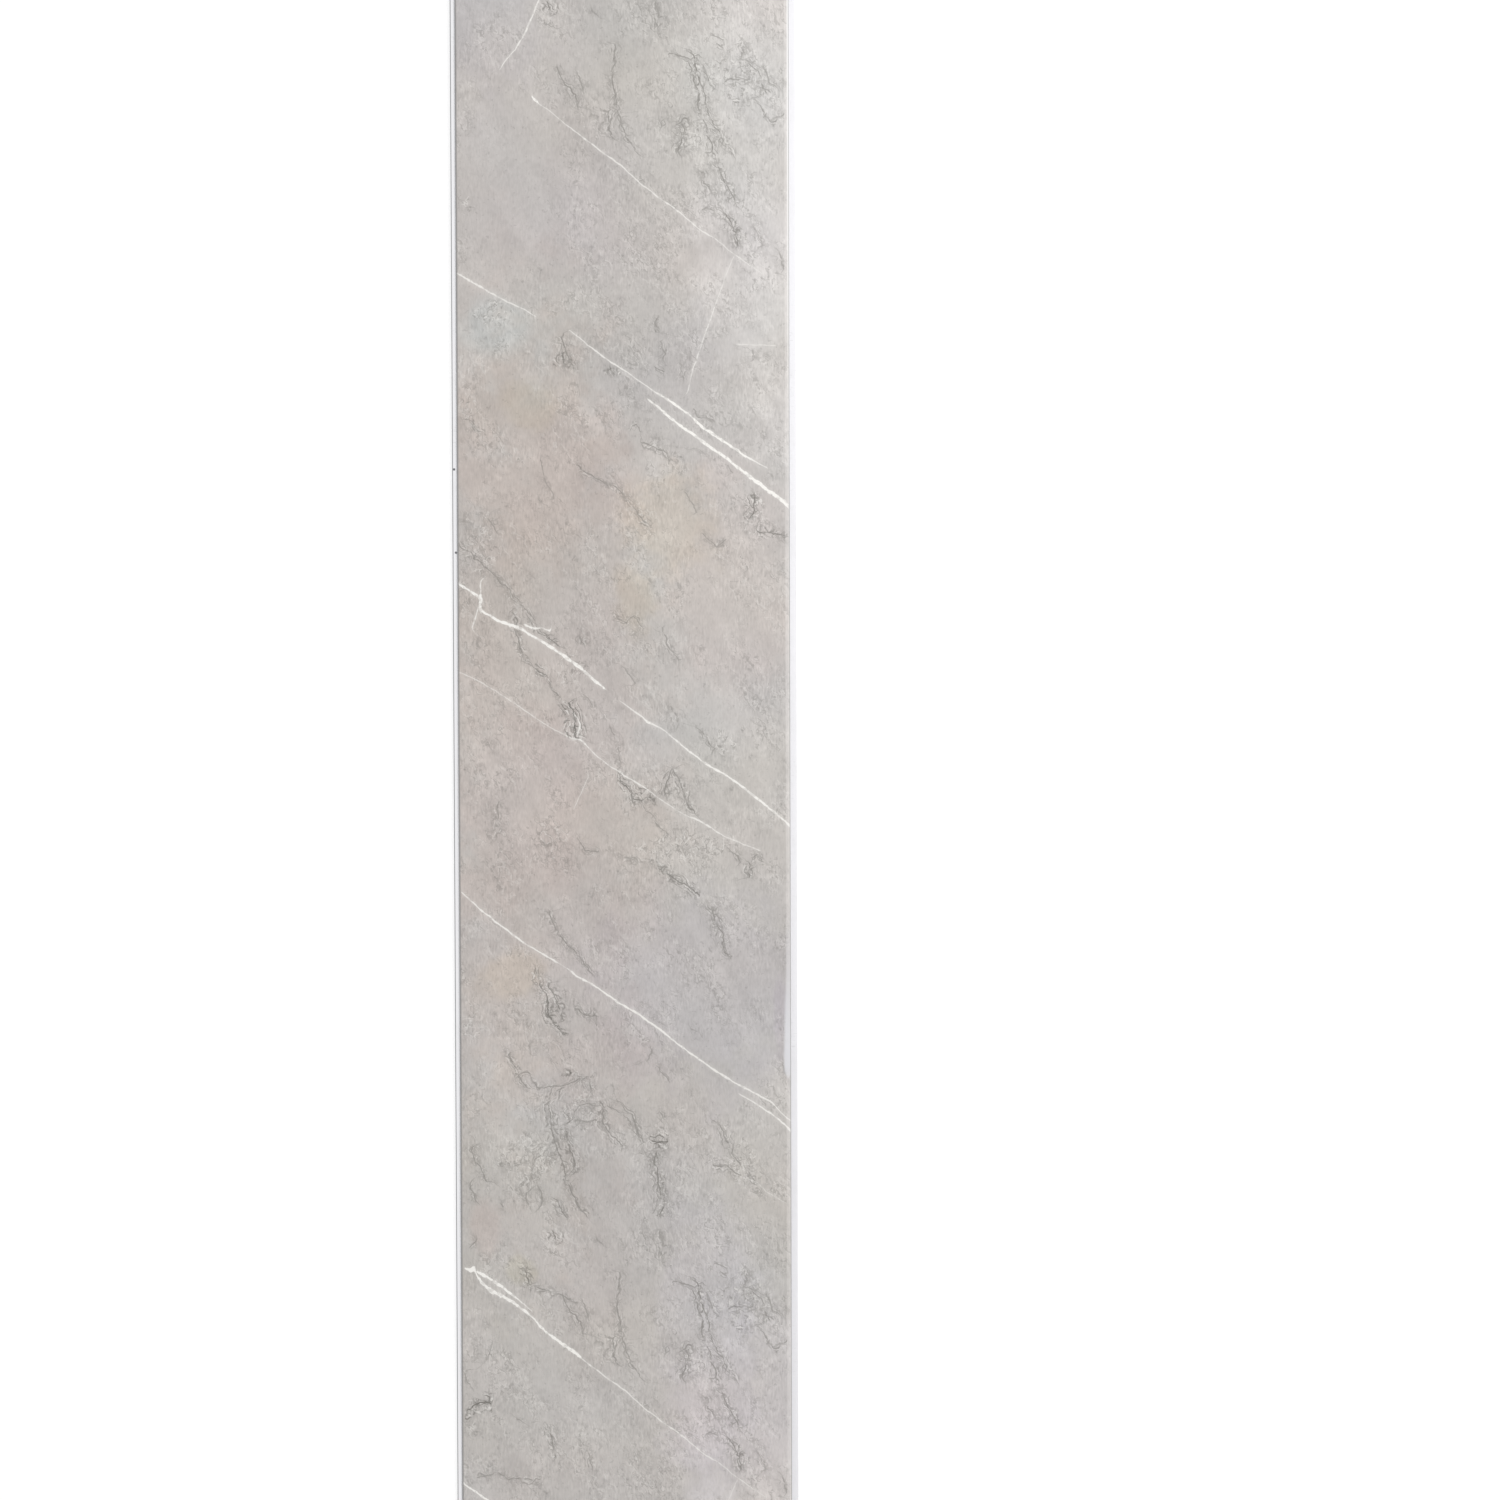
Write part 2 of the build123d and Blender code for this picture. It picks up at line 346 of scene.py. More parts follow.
class PanelSizes(bpy.types.PropertyGroup):
    """Sizes of the extrusion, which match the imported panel."""

    lip_thickness: in_mm("Lip Thickness", "Front lip over the groove", 1.0)
    groove_depth: in_mm("Groove Depth", "From the lip's edge to the groove's bottom", 4.8)
    flange_thickness: in_mm("Flange Thickness", "Fixing flange behind the groove", 1.1)
    flange_reach: in_mm("Flange Reach", "How far the flange stands out past the lip", 5.0)
    tongue_reach: in_mm("Tongue Reach", "How far the tongue stands out past the face", 4.2)
    joint_gap: in_mm("Joint Gap", "Clearance of the tongue in the groove", 0.15)
    rebate_gap: in_mm("Rebate Gap", "Clearance past the next flange's tip", 0.3)
    front_skin: in_mm("Front Skin", "Wall under the print", 0.9)
    back_skin: in_mm("Back Skin", "Wall at the back", 0.8)
    edge_wall: in_mm("Edge Wall", "Webs beside the groove, the rebate and the tongue", 0.8)
    tongue_wall: in_mm("Tongue Wall", "Wall of the hollow tongue", 0.9)
    web: in_mm("Web", "Wall between two cells", 0.6)
    cell_count: IntProperty(name="Cells", description="Hollow cells of the core", default=24, min=1)
    cell_radius: in_mm("Cell Radius", "Radius in the corners of a cell", 0.5)
    nose_radius: in_mm("Nose Radius", "Corners of the tongue's nose", 1.2)
    face_edge_radius: in_mm("Face Edge Radius", "Long edges of the printed face", 0.5)
    back_edge_radius: in_mm("Back Edge Radius", "Corners of the groove and the rebate", 0.3)
    flange_tip_radius: in_mm("Flange Tip Radius", "Tip of the flange", 0.4)
    bead_inset: in_mm("Bead Inset", "From the lip's edge to the middle of its locking bead", 0.8)
    bead_radius: in_mm("Bead Radius", "Locking bead under the lip", 0.3)
    skin_sink: in_mm("Skin Sink", "How far the front skin sinks over the middle of a cell", 0.03)
    lip_bow: in_mm("Lip Bow", "How far a stretch of the lip is bent down", 0.3)
    lip_bow_place: in_mm("Lip Bow Place", "Where along the panel the lip is bent", -192)
    lip_bow_reach: in_mm("Lip Bow Reach", "Half the length of the bent stretch", 70)
    stations: IntProperty(
        name="Stations", description="Sections along the panel, a multiple of three", default=150, min=3
    )


class PanelFinish(bpy.types.PropertyGroup):
    """Colours and gloss of the print and the PVC."""

    ground: as_colour("Ground", "Grey ground of the print", (0.504, 0.477, 0.454))
    vein: as_colour("Vein", "White veins of the print", (0.88, 0.86, 0.82))
    crack: as_colour("Crack", "Dark cracks of the print", (0.15, 0.14, 0.125))
    pvc: as_colour("PVC", "White PVC of the extrusion", (0.86, 0.855, 0.875))
    print_gloss: as_share("Print Roughness", "Roughness of the satin print", 0.36)
    pvc_gloss: as_share("PVC Roughness", "Roughness of the extruded PVC", 0.34)


class StudioSettings(bpy.types.PropertyGroup):
    """Floor, light and camera of the studio."""

    floor_size: in_metres("Floor Size", "Side of the floor", 14.0)
    sky_level: FloatProperty(name="Sky Level", description="Even light from all round", default=0.78)
    high_power: in_watts("High Power", "Power of the high lamp", 14.0)
    high_size: in_metres("High Size", "Side of the high lamp", 1.2)
    high_place: as_place("High Place", "Where the high lamp hangs", (0.9, 0.15, 2.3))
    near_power: in_watts("Near Power", "Power of the near lamp", 0.6)
    near_size: in_metres("Near Size", "Side of the near lamp", 0.4)
    near_place: as_place("Near Place", "Where the near lamp hangs", (0.44, 0.56, 0.38))
    near_aim: as_place("Near Aim", "What the near lamp is turned to, at the top right", (0.12, 0.5, 0.0))
    lens: FloatProperty(name="Lens", description="Focal length in millimetres", default=50.0)
    camera_place: as_place("Camera Place", "Where the camera hangs over the panel", (0.0947, 0.0292, 1.579))
    camera_tilt: in_degrees("Camera Tilt", "Turn about X from straight down", -1.06)
    camera_roll: in_degrees("Camera Roll", "Turn about the line of sight", -0.155)


class Wire:
    """The value at a socket. Sums and products of wires and numbers are worked out by math nodes."""

    def __init__(self, graph, socket):
        self.graph = graph
        self.socket = socket

    def __add__(self, other):
        return self.graph.math("ADD", self, other)

    def __sub__(self, other):
        return self.graph.math("SUBTRACT", self, other)

    def __rsub__(self, other):
        return self.graph.math("SUBTRACT", other, self)

    def __mul__(self, other):
        return self.graph.math("MULTIPLY", self, other)

    def __truediv__(self, other):
        return self.graph.math("DIVIDE", self, other)

    def __abs__(self):
        return self.graph.math("ABSOLUTE", self)


class Graph:
    """Adds nodes to one tree and joins them as they are made."""

    def __init__(self, tree):
        self.tree = tree

    def feed(self, socket, value):
        """Joins a socket to a wire, or gives it a constant."""
        if isinstance(value, Wire):
            self.tree.links.new(value.socket, socket)
        elif value is not None:
            socket.default_value = value

    def add(self, kind, *values, **settings):
        """A node with its settings, and its first inputs fed in order."""
        node = self.tree.nodes.new(kind)
        for name, value in settings.items():
            setattr(node, name, value)
        for socket, value in zip(node.inputs, values):
            self.feed(socket, value)
        return node

    def named(self, kind, **values):
        """A node whose settings are named in small letters, and its inputs with a capital, _ for a space."""
        node = self.add(kind, **{name: value for name, value in values.items() if name.islower()})
        for name, value in values.items():
            if not name.islower():
                fits = (s for s in node.inputs if s.enabled and s.name == name.replace("_", " "))
                self.feed(next(fits), value)
        return node

    def wires(self, node):
        """The outputs of a node by name."""
        return {socket.name: Wire(self, socket) for socket in node.outputs}

    def out(self, kind, *values, **settings):
        """The first output of a node made by add."""
        return Wire(self, self.add(kind, *values, **settings).outputs[0])

    def form(self, kind, **values):
        """The first output of a node made by named."""
        return Wire(self, self.named(kind, **values).outputs[0])

    def math(self, operation, *values, clamp=False):
        return self.out("ShaderNodeMath", *values, operation=operation, use_clamp=clamp)

    def scaled(self, value, factor, shift):
        """The value times a factor, plus a shift."""
        return self.math("MULTIPLY_ADD", value, factor, shift)

    def most(self, first, *others):
        """The largest of some values."""
        for other in others:
            first = self.math("MAXIMUM", first, other)
        return first

    def vector_math(self, operation, *values):
        node = self.add("ShaderNodeVectorMath", *values, operation=operation)
        return self.wires(node)["Value" if operation in ("DISTANCE", "LENGTH") else "Vector"]

    def split(self, vector):
        return self.wires(self.add("ShaderNodeSeparateXYZ", vector))

    def join(self, x, y, z):
        return self.out("ShaderNodeCombineXYZ", x, y, z)

    def fade(self, value, low, high, start=0.0, end=1.0):
        """Goes softly from start to end as value goes from low to high."""
        return self.out("ShaderNodeMapRange", value, low, high, start, end, interpolation_type="SMOOTHSTEP")

    def texture(self, place, size, detail, roughness):
        """Noise with features of about this size in metres. Its values lie round a half."""
        return self.named(
            "ShaderNodeTexNoise", Vector=place, Scale=1 / size, Detail=detail, Roughness=roughness
        )

    def noise(self, place, size, detail=2.0, roughness=0.5):
        """One value of noise."""
        return Wire(self, self.texture(place, size, detail, roughness).outputs[0])

    def noises(self, place, size, detail=2.0, roughness=0.5):
        """Three values of noise, as X, Y and Z."""
        return self.split(self.wires(self.texture(place, size, detail, roughness))["Color"])

    def swing(self, value, amount):
        """A noise value, which lies round a half, as an offset round zero."""
        return (value - 0.5) * amount

    def blend(self, factor, first, second):
        """A mix of two colours, each a wire or a plain red, green and blue."""
        node = self.add("ShaderNodeMix", factor, data_type="RGBA")
        for socket, colour in ((node.inputs[6], first), (node.inputs[7], second)):
            self.feed(socket, colour if isinstance(colour, Wire) else (*colour, 1.0))
        return Wire(self, node.outputs[2])

    def curve(self, value, points, span, lift):
        """A Float Curve through points, straight between them, over the span of its input."""
        node = self.add("ShaderNodeFloatCurve", 1.0, value)
        mapping = node.mapping
        mapping.use_clip = False
        mapping.clip_min_x, mapping.clip_max_x = span
        mapping.clip_min_y, mapping.clip_max_y = lift
        track = mapping.curves[0]
        track.points[0].location, track.points[1].location = points[0], points[-1]
        for place in points[1:-1]:
            track.points.new(*place)
        for point in track.points:
            point.handle_type = "VECTOR"
        mapping.update()
        return Wire(self, node.outputs[0])

    def use(self, tree, **values):
        """The outputs of a placed node group, with its inputs fed by name."""
        node = self.add("ShaderNodeGroup", node_tree=tree)
        for name, value in values.items():
            self.feed(node.inputs[name.replace("_", " ")], value)
        return self.wires(node)

    def close(self, **values):
        """Feeds the outputs of a group by name, and returns its tree."""
        sink = self.add("NodeGroupOutput").inputs
        for name, value in values.items():
            self.feed(sink[name], value)
        return self.tree


VALUE, VECTOR = "NodeSocketFloat", "NodeSocketVector"
GEOMETRY, MATERIAL, WHOLE = "NodeSocketGeometry", "NodeSocketMaterial", "NodeSocketInt"


def new_group(name, inputs, outputs, kind="ShaderNodeTree"):
    """An open node group. A socket is a name, for a plain value, or a name, a type and any default."""
    tree = bpy.data.node_groups.new(name, kind)
    for side, sockets in (("INPUT", inputs), ("OUTPUT", outputs)):
        for item in sockets:
            label, socket_type, *default = (item, VALUE) if isinstance(item, str) else item
            socket = tree.interface.new_socket(name=label, in_out=side, socket_type=socket_type)
            if default:
                socket.default_value = default[0]
    graph = Graph(tree)
    return graph, graph.wires(graph.add("NodeGroupInput"))


def print_coordinates():
    """Where a point lies on the print: across, and down within a short and a long repeat.

    Roll winds the print round a drum one repeat long, so that noise read there meets at the join. Flow
    does so too, but drawn out along the steep run of the cracks.
    """
    g, source = new_group(
        "Print Coordinates", [("Place", VECTOR)],
        ["Across", "Down", "Short", "Long", ("Roll", VECTOR), ("Flow", VECTOR)],
    )
    place = g.split(source["Place"])
    across, down = place["X"], PRINT_TOP - place["Y"]
    drum_radius = PRINT_REPEAT / (2 * math.pi)
    flow_slope, flow_stretch = 1.5, 0.45

    def wind(run, along):
        angle = run / drum_radius
        return g.join(along, g.math("COSINE", angle) * drum_radius, g.math("SINE", angle) * drum_radius)

    return g.close(
        Across=across, Down=down,
        Short=g.math("WRAP", down, PRINT_REPEAT, 0.0), Long=g.math("WRAP", down, LONG_REPEAT, 0.0),
        Roll=wind(down, across), Flow=wind(g.scaled(across, -flow_slope, down), across * flow_stretch),
    )


NOISES = [f"{size} {axis}" for size in ("Coarse", "Middle", "Fine") for axis in "XYZ"]

# What the curves span: across the print, down one repeat, and a track's width in millimetres or strength
ACROSS_SPAN, SHORT_SPAN, LONG_SPAN = (-130 * MM, 130 * MM), (0.0, PRINT_REPEAT), (0.0, LONG_REPEAT)
SIZE_SPAN = (0.0, 3.0)


def print_noise():
    """Noise in three sizes, coarse, middle and fine, which the other groups of the print share."""
    g, source = new_group("Print Noise", [("Roll", VECTOR)], NOISES)
    values = []
    for size, detail in ((30 * MM, 3), (9 * MM, 2.5), (4.6 * MM, 2)):
        values += g.noises(source["Roll"], size, detail, 0.58).values()
    return g.close(**dict(zip(NOISES, values)))


def shared(noises, tree):
    """The shared noises that a group asks for by name."""
    wanted = {item.name for item in tree.interface.items_tree if item.in_out == "INPUT"}
    return {name: noise for name, noise in noises.items() if name in wanted}


def in_lanes(tracks, gap):
    """Sorts tracks into lanes, each a list of tracks that don't overlap along their first measure."""
    lanes = []
    for track in sorted(tracks, key=lambda points: points[0][0]):
        for lane in lanes:
            if lane[-1][-1][0] + gap < track[0][0]:
                lane.append(track)
                break
        else:
            lanes.append([track])
    return lanes


def track_curves(g, along, lane, span, lift, gap):
    """Reads one lane at a place along it: where its track lies, and how wide or strong it is there."""
    middle = [(a * MM, b * MM) for track in lane for a, b, _ in track]
    size = []
    for track in lane:
        size.append(((track[0][0] - gap / 3) * MM, 0.0))
        size.extend((a * MM, width) for a, _, width in track)
        size.append(((track[-1][0] + gap / 3) * MM, 0.0))
    return g.curve(along, middle, span, lift), g.curve(along, size, span, SIZE_SPAN)


def turned(tracks):
    """The same tracks with down as their first measure."""
    return [[(down, across, size) for across, down, size in track] for track in tracks]


def level_tracks(g, across, tables, gap):  # gap is the least between two tracks of a lane, in millimetres
    """Each lane of tracks that run across: how far below it a point lies, and its size there."""
    for tracks, run, span in tables:
        half = span[1] / 2
        for lane in in_lanes(tracks, gap):
            middle, size = track_curves(g, across, lane, ACROSS_SPAN, span, gap)
            yield g.math("WRAP", run - middle, half, -half), size


def steep_tracks(g, across, tables, gap):
    """Each lane of tracks that run down: how far to the right of it a point lies, and its size there."""
    for tracks, run, span in tables:
        for lane in in_lanes(turned(tracks), gap):
            middle, size = track_curves(g, run, lane, span, ACROSS_SPAN, gap)
            yield across - middle, size


def vein_edge():
    """The mask of one vein from the distance to its middle and its width."""
    g, source = new_group("Vein Edge", ["Offset", "Width", "Ragged", "Before"], ["Mask"])
    width, away = source["Width"], abs(source["Offset"])
    cover = g.fade(away - width * source["Ragged"] * (0.54 * MM), 0.55 * MM, -0.3 * MM)
    bloom = g.fade(away, 3.5 * MM, 0.4 * MM) * 0.12
    shown = g.math("MINIMUM", width * 3.0, g.scaled(width, 0.55, 0.3), clamp=True)
    return g.close(Mask=g.most(g.most(cover, bloom) * shown, source["Before"]))


def marble_veins(edge):
    """The white veins of the print as one mask."""
    g, source = new_group(
        "Marble Veins", ["Across", "Short", "Long", "Middle X", "Middle Y", "Fine X", "Fine Y"], ["Veins"]
    )
    level_share, steep_share = 0.82, 0.93  # how much of an offset along an axis is across the vein
    short, long = source["Short"], source["Long"]
    across = source["Across"] + g.swing(source["Middle X"], 1.7 * MM)
    sway = g.swing(source["Middle Y"], 1.7 * MM)
    ragged = g.fade(source["Fine X"], 0.36, 0.64, 0.6, 1.35)
    level = ((VEINS, short, SHORT_SPAN), (RARE_VEINS, long, LONG_SPAN))
    steep = ((STEEP_VEINS, short, SHORT_SPAN), (RARE_STEEP_VEINS, long, LONG_SPAN))
    veins = [
        (g.scaled(offset, level_share, sway), width)
        for offset, width in level_tracks(g, across, level, gap=3)
    ]
    veins += [(offset * steep_share, width) for offset, width in steep_tracks(g, across, steep, gap=6)]
    mask = 0.0
    for offset, width in veins:
        mask = g.use(edge, Offset=offset, Width=width, Ragged=ragged, Before=mask)["Mask"]
    return g.close(Veins=mask * g.fade(source["Fine Y"], 0.36, 0.5, 0.5, 1.0))


def nearest_crack():
    """Keeps whichever of two cracks runs closer: how far off it is, and how strong."""
    g, source = new_group(
        "Nearest Crack", ["Offset", "Strength", "Offset Before", "Strength Before", "Reach Before"],
        ["Offset", "Strength", "Reach"],
    )
    before = source["Reach Before"]
    reach = abs(source["Offset"]) + g.math("LESS_THAN", source["Strength"], 0.05)
    nearer = g.math("LESS_THAN", reach, before)
    kept = {
        name: g.out("ShaderNodeMix", nearer, None, source[f"{name} Before"], source[name], data_type="FLOAT")
        for name in ("Offset", "Strength")
    }
    return g.close(Reach=g.math("MINIMUM", reach, before), **kept)


def crack_braid():
    """The lines of a crack from the distance to its middle: dark and pale strands that part and meet."""
    g, source = new_group(
        "Crack Braid",
        ["Offset", "Strength", "Reach", ("Roll", VECTOR), "Coarse X", "Coarse Y", "Coarse Z", "Middle X",
         "Middle Y", "Middle Z", "Fine X"],
        ["Dark", "Pale", "Halo"],
    )
    strength, reach, offset = source["Strength"], source["Reach"], source["Offset"]
    spread = g.scaled(strength, 6.5 * MM, -3.2 * MM) + g.swing(source["Coarse Y"], 12 * MM)
    near = g.fade(reach - spread, 1.6 * MM, -1.0 * MM) * strength

    def strand(away):
        return g.fade(away, 0.75 * MM, 0.1 * MM)

    def strands(sway, spacing, gaps, low, high):
        return strand(g.math("PINGPONG", offset + sway, spacing / 2)) * g.fade(gaps, low, high)

    wide = g.swing(source["Coarse Z"], 46 * MM)
    other = g.swing(source["Coarse X"], 30 * MM) + g.swing(source["Middle Z"], 9 * MM)
    main = strand(reach) * g.fade(source["Middle Z"], 0.38, 0.47, 0.25, 1.0) * strength
    first = strands(wide, 4.2 * MM, source["Middle X"], 0.42, 0.5)
    second = strands(other, 5.4 * MM, source["Middle Y"], 0.56, 0.48)
    light = strands(wide + 1.3 * MM, 4.2 * MM, source["Fine X"], 0.44, 0.54)
    specks = g.noises(source["Roll"], 1.7 * MM, 1)
    close = g.fade(reach, 4 * MM, 0.5 * MM) * g.fade(strength, 0.6, 1.3)
    pair = g.most(first, second * 0.85) * near
    return g.close(
        Dark=g.most(main, pair * 0.8, g.fade(specks["X"], 0.58, 0.66) * close),
        Pale=g.most(light * near, g.fade(specks["Y"], 0.57, 0.66) * close),
        Halo=g.fade(reach, 10 * MM, 1 * MM) * strength,
    )


def marble_cracks():
    """The placed cracks of the print, and how troubled the ground is: round them, and in the tangles."""
    g, source = new_group(
        "Marble Cracks", ["Across", "Short", "Long", ("Roll", VECTOR), *NOISES],
        ["Dark", "Pale", "Halo", "Tangle"],
    )
    nearest, braid = nearest_crack(), crack_braid()
    axis_share = 0.85
    across = source["Across"] + g.swing(source["Middle X"], 7 * MM)
    shake = g.swing(source["Middle Y"], 7 * MM)
    short, long = source["Short"] + shake, source["Long"] + shake

    def tables(often, rare):
        return [
            ([[(*point, strength) for point in points] for strength, *points in cracks], run, span)
            for cracks, run, span in ((often, short, SHORT_SPAN), (rare, long, LONG_SPAN))
        ]

    found = {"Offset": 1.0, "Strength": 0.0, "Reach": 1.0}
    for offset, strength in (
        *steep_tracks(g, across, tables(STEEP_CRACKS, RARE_STEEP_CRACKS), gap=6),
        *level_tracks(g, across, tables(LEVEL_CRACKS, RARE_LEVEL_CRACKS), gap=4),
    ):
        before = {f"{name} Before": value for name, value in found.items()}
        found = g.use(nearest, Offset=offset * axis_share, Strength=strength, **before)
    lines = g.use(braid, **found, **shared(source, braid))

    unit = 20  # millimetres to one unit of the curve that holds a tangle's half width
    tangles = [
        [(aside, down - high, 0.0), (aside, down, wide / unit), (aside, down + high, 0.0)]
        for aside, down, wide, high in TANGLES
    ]
    tangle = 0.0
    for offset, wide in steep_tracks(g, across, [(tangles, short, SHORT_SPAN)], gap=6):
        cover = g.fade(g.scaled(wide, -unit * MM, abs(offset)), 5 * MM, -5 * MM)
        tangle = g.most(tangle, cover * g.math("MULTIPLY", wide, 5.0, clamp=True))
    return g.close(**lines, Tangle=tangle)


def marble_filaments():
    """Hair cracks: curls where the ground is a tangle, and faint drawn-out ones everywhere."""
    g, source = new_group(
        "Marble Filaments",
        [("Flow", VECTOR), "Halo", "Tangle", "Trouble", "Coarse X", "Middle X", "Middle Y", "Middle Z",
         "Fine X", "Fine Y", "Fine Z"],
        ["Dark", "Pale"],
    )
    tangle, trouble, middle = source["Tangle"], source["Trouble"], source["Middle X"]

    def contour(value, level, width):
        """A thin line where the value passes a level."""
        return g.fade(abs(value - level), width, 0.15 * width)

    curls = g.most(contour(middle, 0.5, 0.03), contour(source["Middle Y"], 0.47, 0.03))
    curls = curls * g.fade(source["Fine X"], 0.46, 0.58) * tangle
    curl_pale = contour(middle, 0.455, 0.035) * g.fade(source["Fine Y"], 0.42, 0.54) * tangle

    curl = g.join(*(g.swing(source[f"Middle {axis}"], 22 * MM) for axis in "XYZ"))
    drawn = g.noises(g.vector_math("ADD", source["Flow"], curl), 17 * MM)
    hair = g.most(contour(drawn["X"], 0.5, 0.026), contour(drawn["Y"], 0.52, 0.026))
    busy = g.scaled(trouble, 0.75, 0.25)
    where = g.most(g.fade(source["Coarse X"], 0.4, 0.56) * busy, source["Halo"])
    hair = hair * where * g.fade(source["Fine Z"], 0.38, 0.5)
    glint = contour(drawn["X"], 0.47, 0.026) * (trouble * busy)
    thread = contour(drawn["Z"], 0.5, 0.02) * g.fade(source["Fine Y"], 0.4, 0.52)
    return g.close(
        Dark=g.most(curls * 0.66, hair * 0.5, thread * where * 0.3), Pale=g.most(curl_pale, glint * 0.5)
    )


def marble_clouds():
    """The mottled ground in steps of one part in 85: its tone, how warm it is and how pink."""
    g, source = new_group(
        "Marble Clouds", [("Roll", VECTOR), ("Flow", VECTOR), ("Place", VECTOR), "Trouble"],
        ["Tone", "Warmth", "Blush"],
    )
    roll, trouble = source["Roll"], source["Trouble"]
    clouds = g.swing(g.noise(roll, 62 * MM, 4.5, 0.96), 78.0) * g.scaled(trouble, 0.45, 0.45)
    drift = g.swing(g.noise(source["Flow"], 26 * MM, 1.5), 16.0)
    grain = g.noise(g.vector_math("MULTIPLY", roll, (1.0, 0.3, 0.3)), 1.3 * MM, 1.5)
    grain = g.swing(grain, 46.0) * g.scaled(trouble, 0.5, 0.5)
    flecks = g.fade(g.noise(roll, 3.2 * MM, 2, 0.6), 0.37, 0.28, 0.0, -14.0)
    hue = g.noises(source["Place"], 130 * MM, 1.5, 0.6)
    return g.close(
        Tone=clouds + drift + grain + flecks, Warmth=g.swing(hue["X"], 8.0), Blush=g.swing(hue["Y"], 5.0)
    )


def skin_relief():
    """Height of an extruded skin in metres: draw lines along the panel, and a fine orange peel."""
    g, source = new_group(
        "Extruded Skin Relief", [("Place", VECTOR), ("Draw Lines", VALUE, 1.0), ("Peel", VALUE, 1.0)],
        ["Height", "Gloss"],
    )
    stretched = g.vector_math("MULTIPLY", source["Place"], (1.0, 0.012, 1.0))
    lines = g.noise(stretched, 2.6 * MM, 3, 0.6)
    peel = g.noise(source["Place"], 2.4 * MM)
    high_lines = g.swing(lines, 0.012 * MM) * source["Draw Lines"]
    high_peel = g.swing(peel, 0.010 * MM) * source["Peel"]
    return g.close(Height=high_lines + high_peel, Gloss=g.swing(lines, 0.10) + g.swing(peel, 0.06))


def handling_marks():
    """Marks of handling on bare PVC: soft smudges and a few fine scuffs across the draw."""
    g, source = new_group("Handling Marks", [("Place", VECTOR)], ["Smudge", "Scuff"])
    smudge = g.noise(source["Place"], 38 * MM, 5, 0.65)
    scuff = g.noise(g.vector_math("MULTIPLY", source["Place"], (0.25, 1.0, 1.0)), 1.2 * MM)
    patch = g.noise(source["Place"], 90 * MM)
    scuff = g.fade(scuff, 0.64, 0.72) * g.fade(patch, 0.5, 0.62)
    return g.close(Smudge=g.fade(smudge, 0.5, 0.68), Scuff=scuff)


def new_material(name):
    """A material with a Principled shader, and the graph to build its colour with."""
    material = bpy.data.materials.new(name)
    material.use_nodes = True
    g = Graph(material.node_tree)
    place = g.wires(g.add("ShaderNodeTexCoord"))["Object"]
    return material, g, material.node_tree.nodes["Principled BSDF"], place


def finish_shader(g, shader, colour, roughness, height):
    """Gives the shader its colour, its roughness, and its normal from a height in metres."""
    g.feed(shader.inputs["Base Color"], colour)
    g.feed(shader.inputs["Roughness"], roughness)
    bump = g.form("ShaderNodeBump", Strength=1.0, Distance=1.0, Height=height)
    g.feed(shader.inputs["Normal"], bump)


def marble_ground(g, finish, clouds, halo):
    """The mottled grey ground, a little darker round the cracks."""
    level = 1 / 85
    tone = g.scaled(g.scaled(halo, -3.0, clouds["Tone"]), level, 1.0)
    ground = g.vector_math("SCALE", finish.ground[:])
    g.feed(ground.socket.node.inputs["Scale"], tone)
    warmth, blush = clouds["Warmth"] * level, clouds["Blush"] * level
    return g.vector_math("MULTIPLY", ground, g.join(warmth + 1.0, 1.0 - blush, 1.0 - warmth))


def edge_changes(g, colour, at, line):
    """The long edges of the print: painted shade beside the tongue and at the lip's outer edge, and painted
    highlights along the lip and on its bent stretch.
    """
    across, down = at["Across"], at["Down"]
    left, right = line.face_left, line.face_right
    # Painted shade: the print darkens at its rounded edge beside the tongue
    painted_tongue_side_shade = g.fade(across, left + 1.3 * MM, left + 0.4 * MM)
    colour = g.blend(painted_tongue_side_shade * 0.75, colour, (0.24, 0.235, 0.23))
    # Painted highlight: a pale line along the lip
    lip_highlight = g.fade(across, right - 3.8 * MM, right - 3.0 * MM)
    colour = g.blend(lip_highlight * 0.22, colour, (0.88, 0.84, 0.82))
    # Painted highlight at the lip's edge, strongest towards the top of the print
    painted_edge_highlight = g.fade(across, right - 1.8 * MM, right - 1.1 * MM)
    edge_highlight_strength = g.fade(down, 420 * MM, 60 * MM, 0.12, 0.9)
    colour = g.blend(painted_edge_highlight * edge_highlight_strength, colour, (0.88, 0.87, 0.86))
    # Painted highlight on the bent stretch of the lip
    span = LIP_HIGHLIGHT_WIDTH[0][0] * MM, LIP_HIGHLIGHT_WIDTH[-1][0] * MM
    wide = g.curve(down, [(a * MM, b * MM) for a, b in LIP_HIGHLIGHT_WIDTH], span, (0.0, 8 * MM))
    lit = g.curve(down, [(a * MM, b) for a, b in LIP_HIGHLIGHT_STRENGTH], span, (0.0, 1.0))
    colour = g.blend(g.fade(across + wide - right, -1.2 * MM, 1.2 * MM) * lit, colour, (0.71, 0.71, 0.74))
    # Painted shade: a thin dark line at the lip's outer edge
    lip_edge_shade = g.fade(across, right - 0.75 * MM, right - 0.35 * MM)
    return g.blend(lip_edge_shade * 0.75, colour, (0.30, 0.295, 0.285))


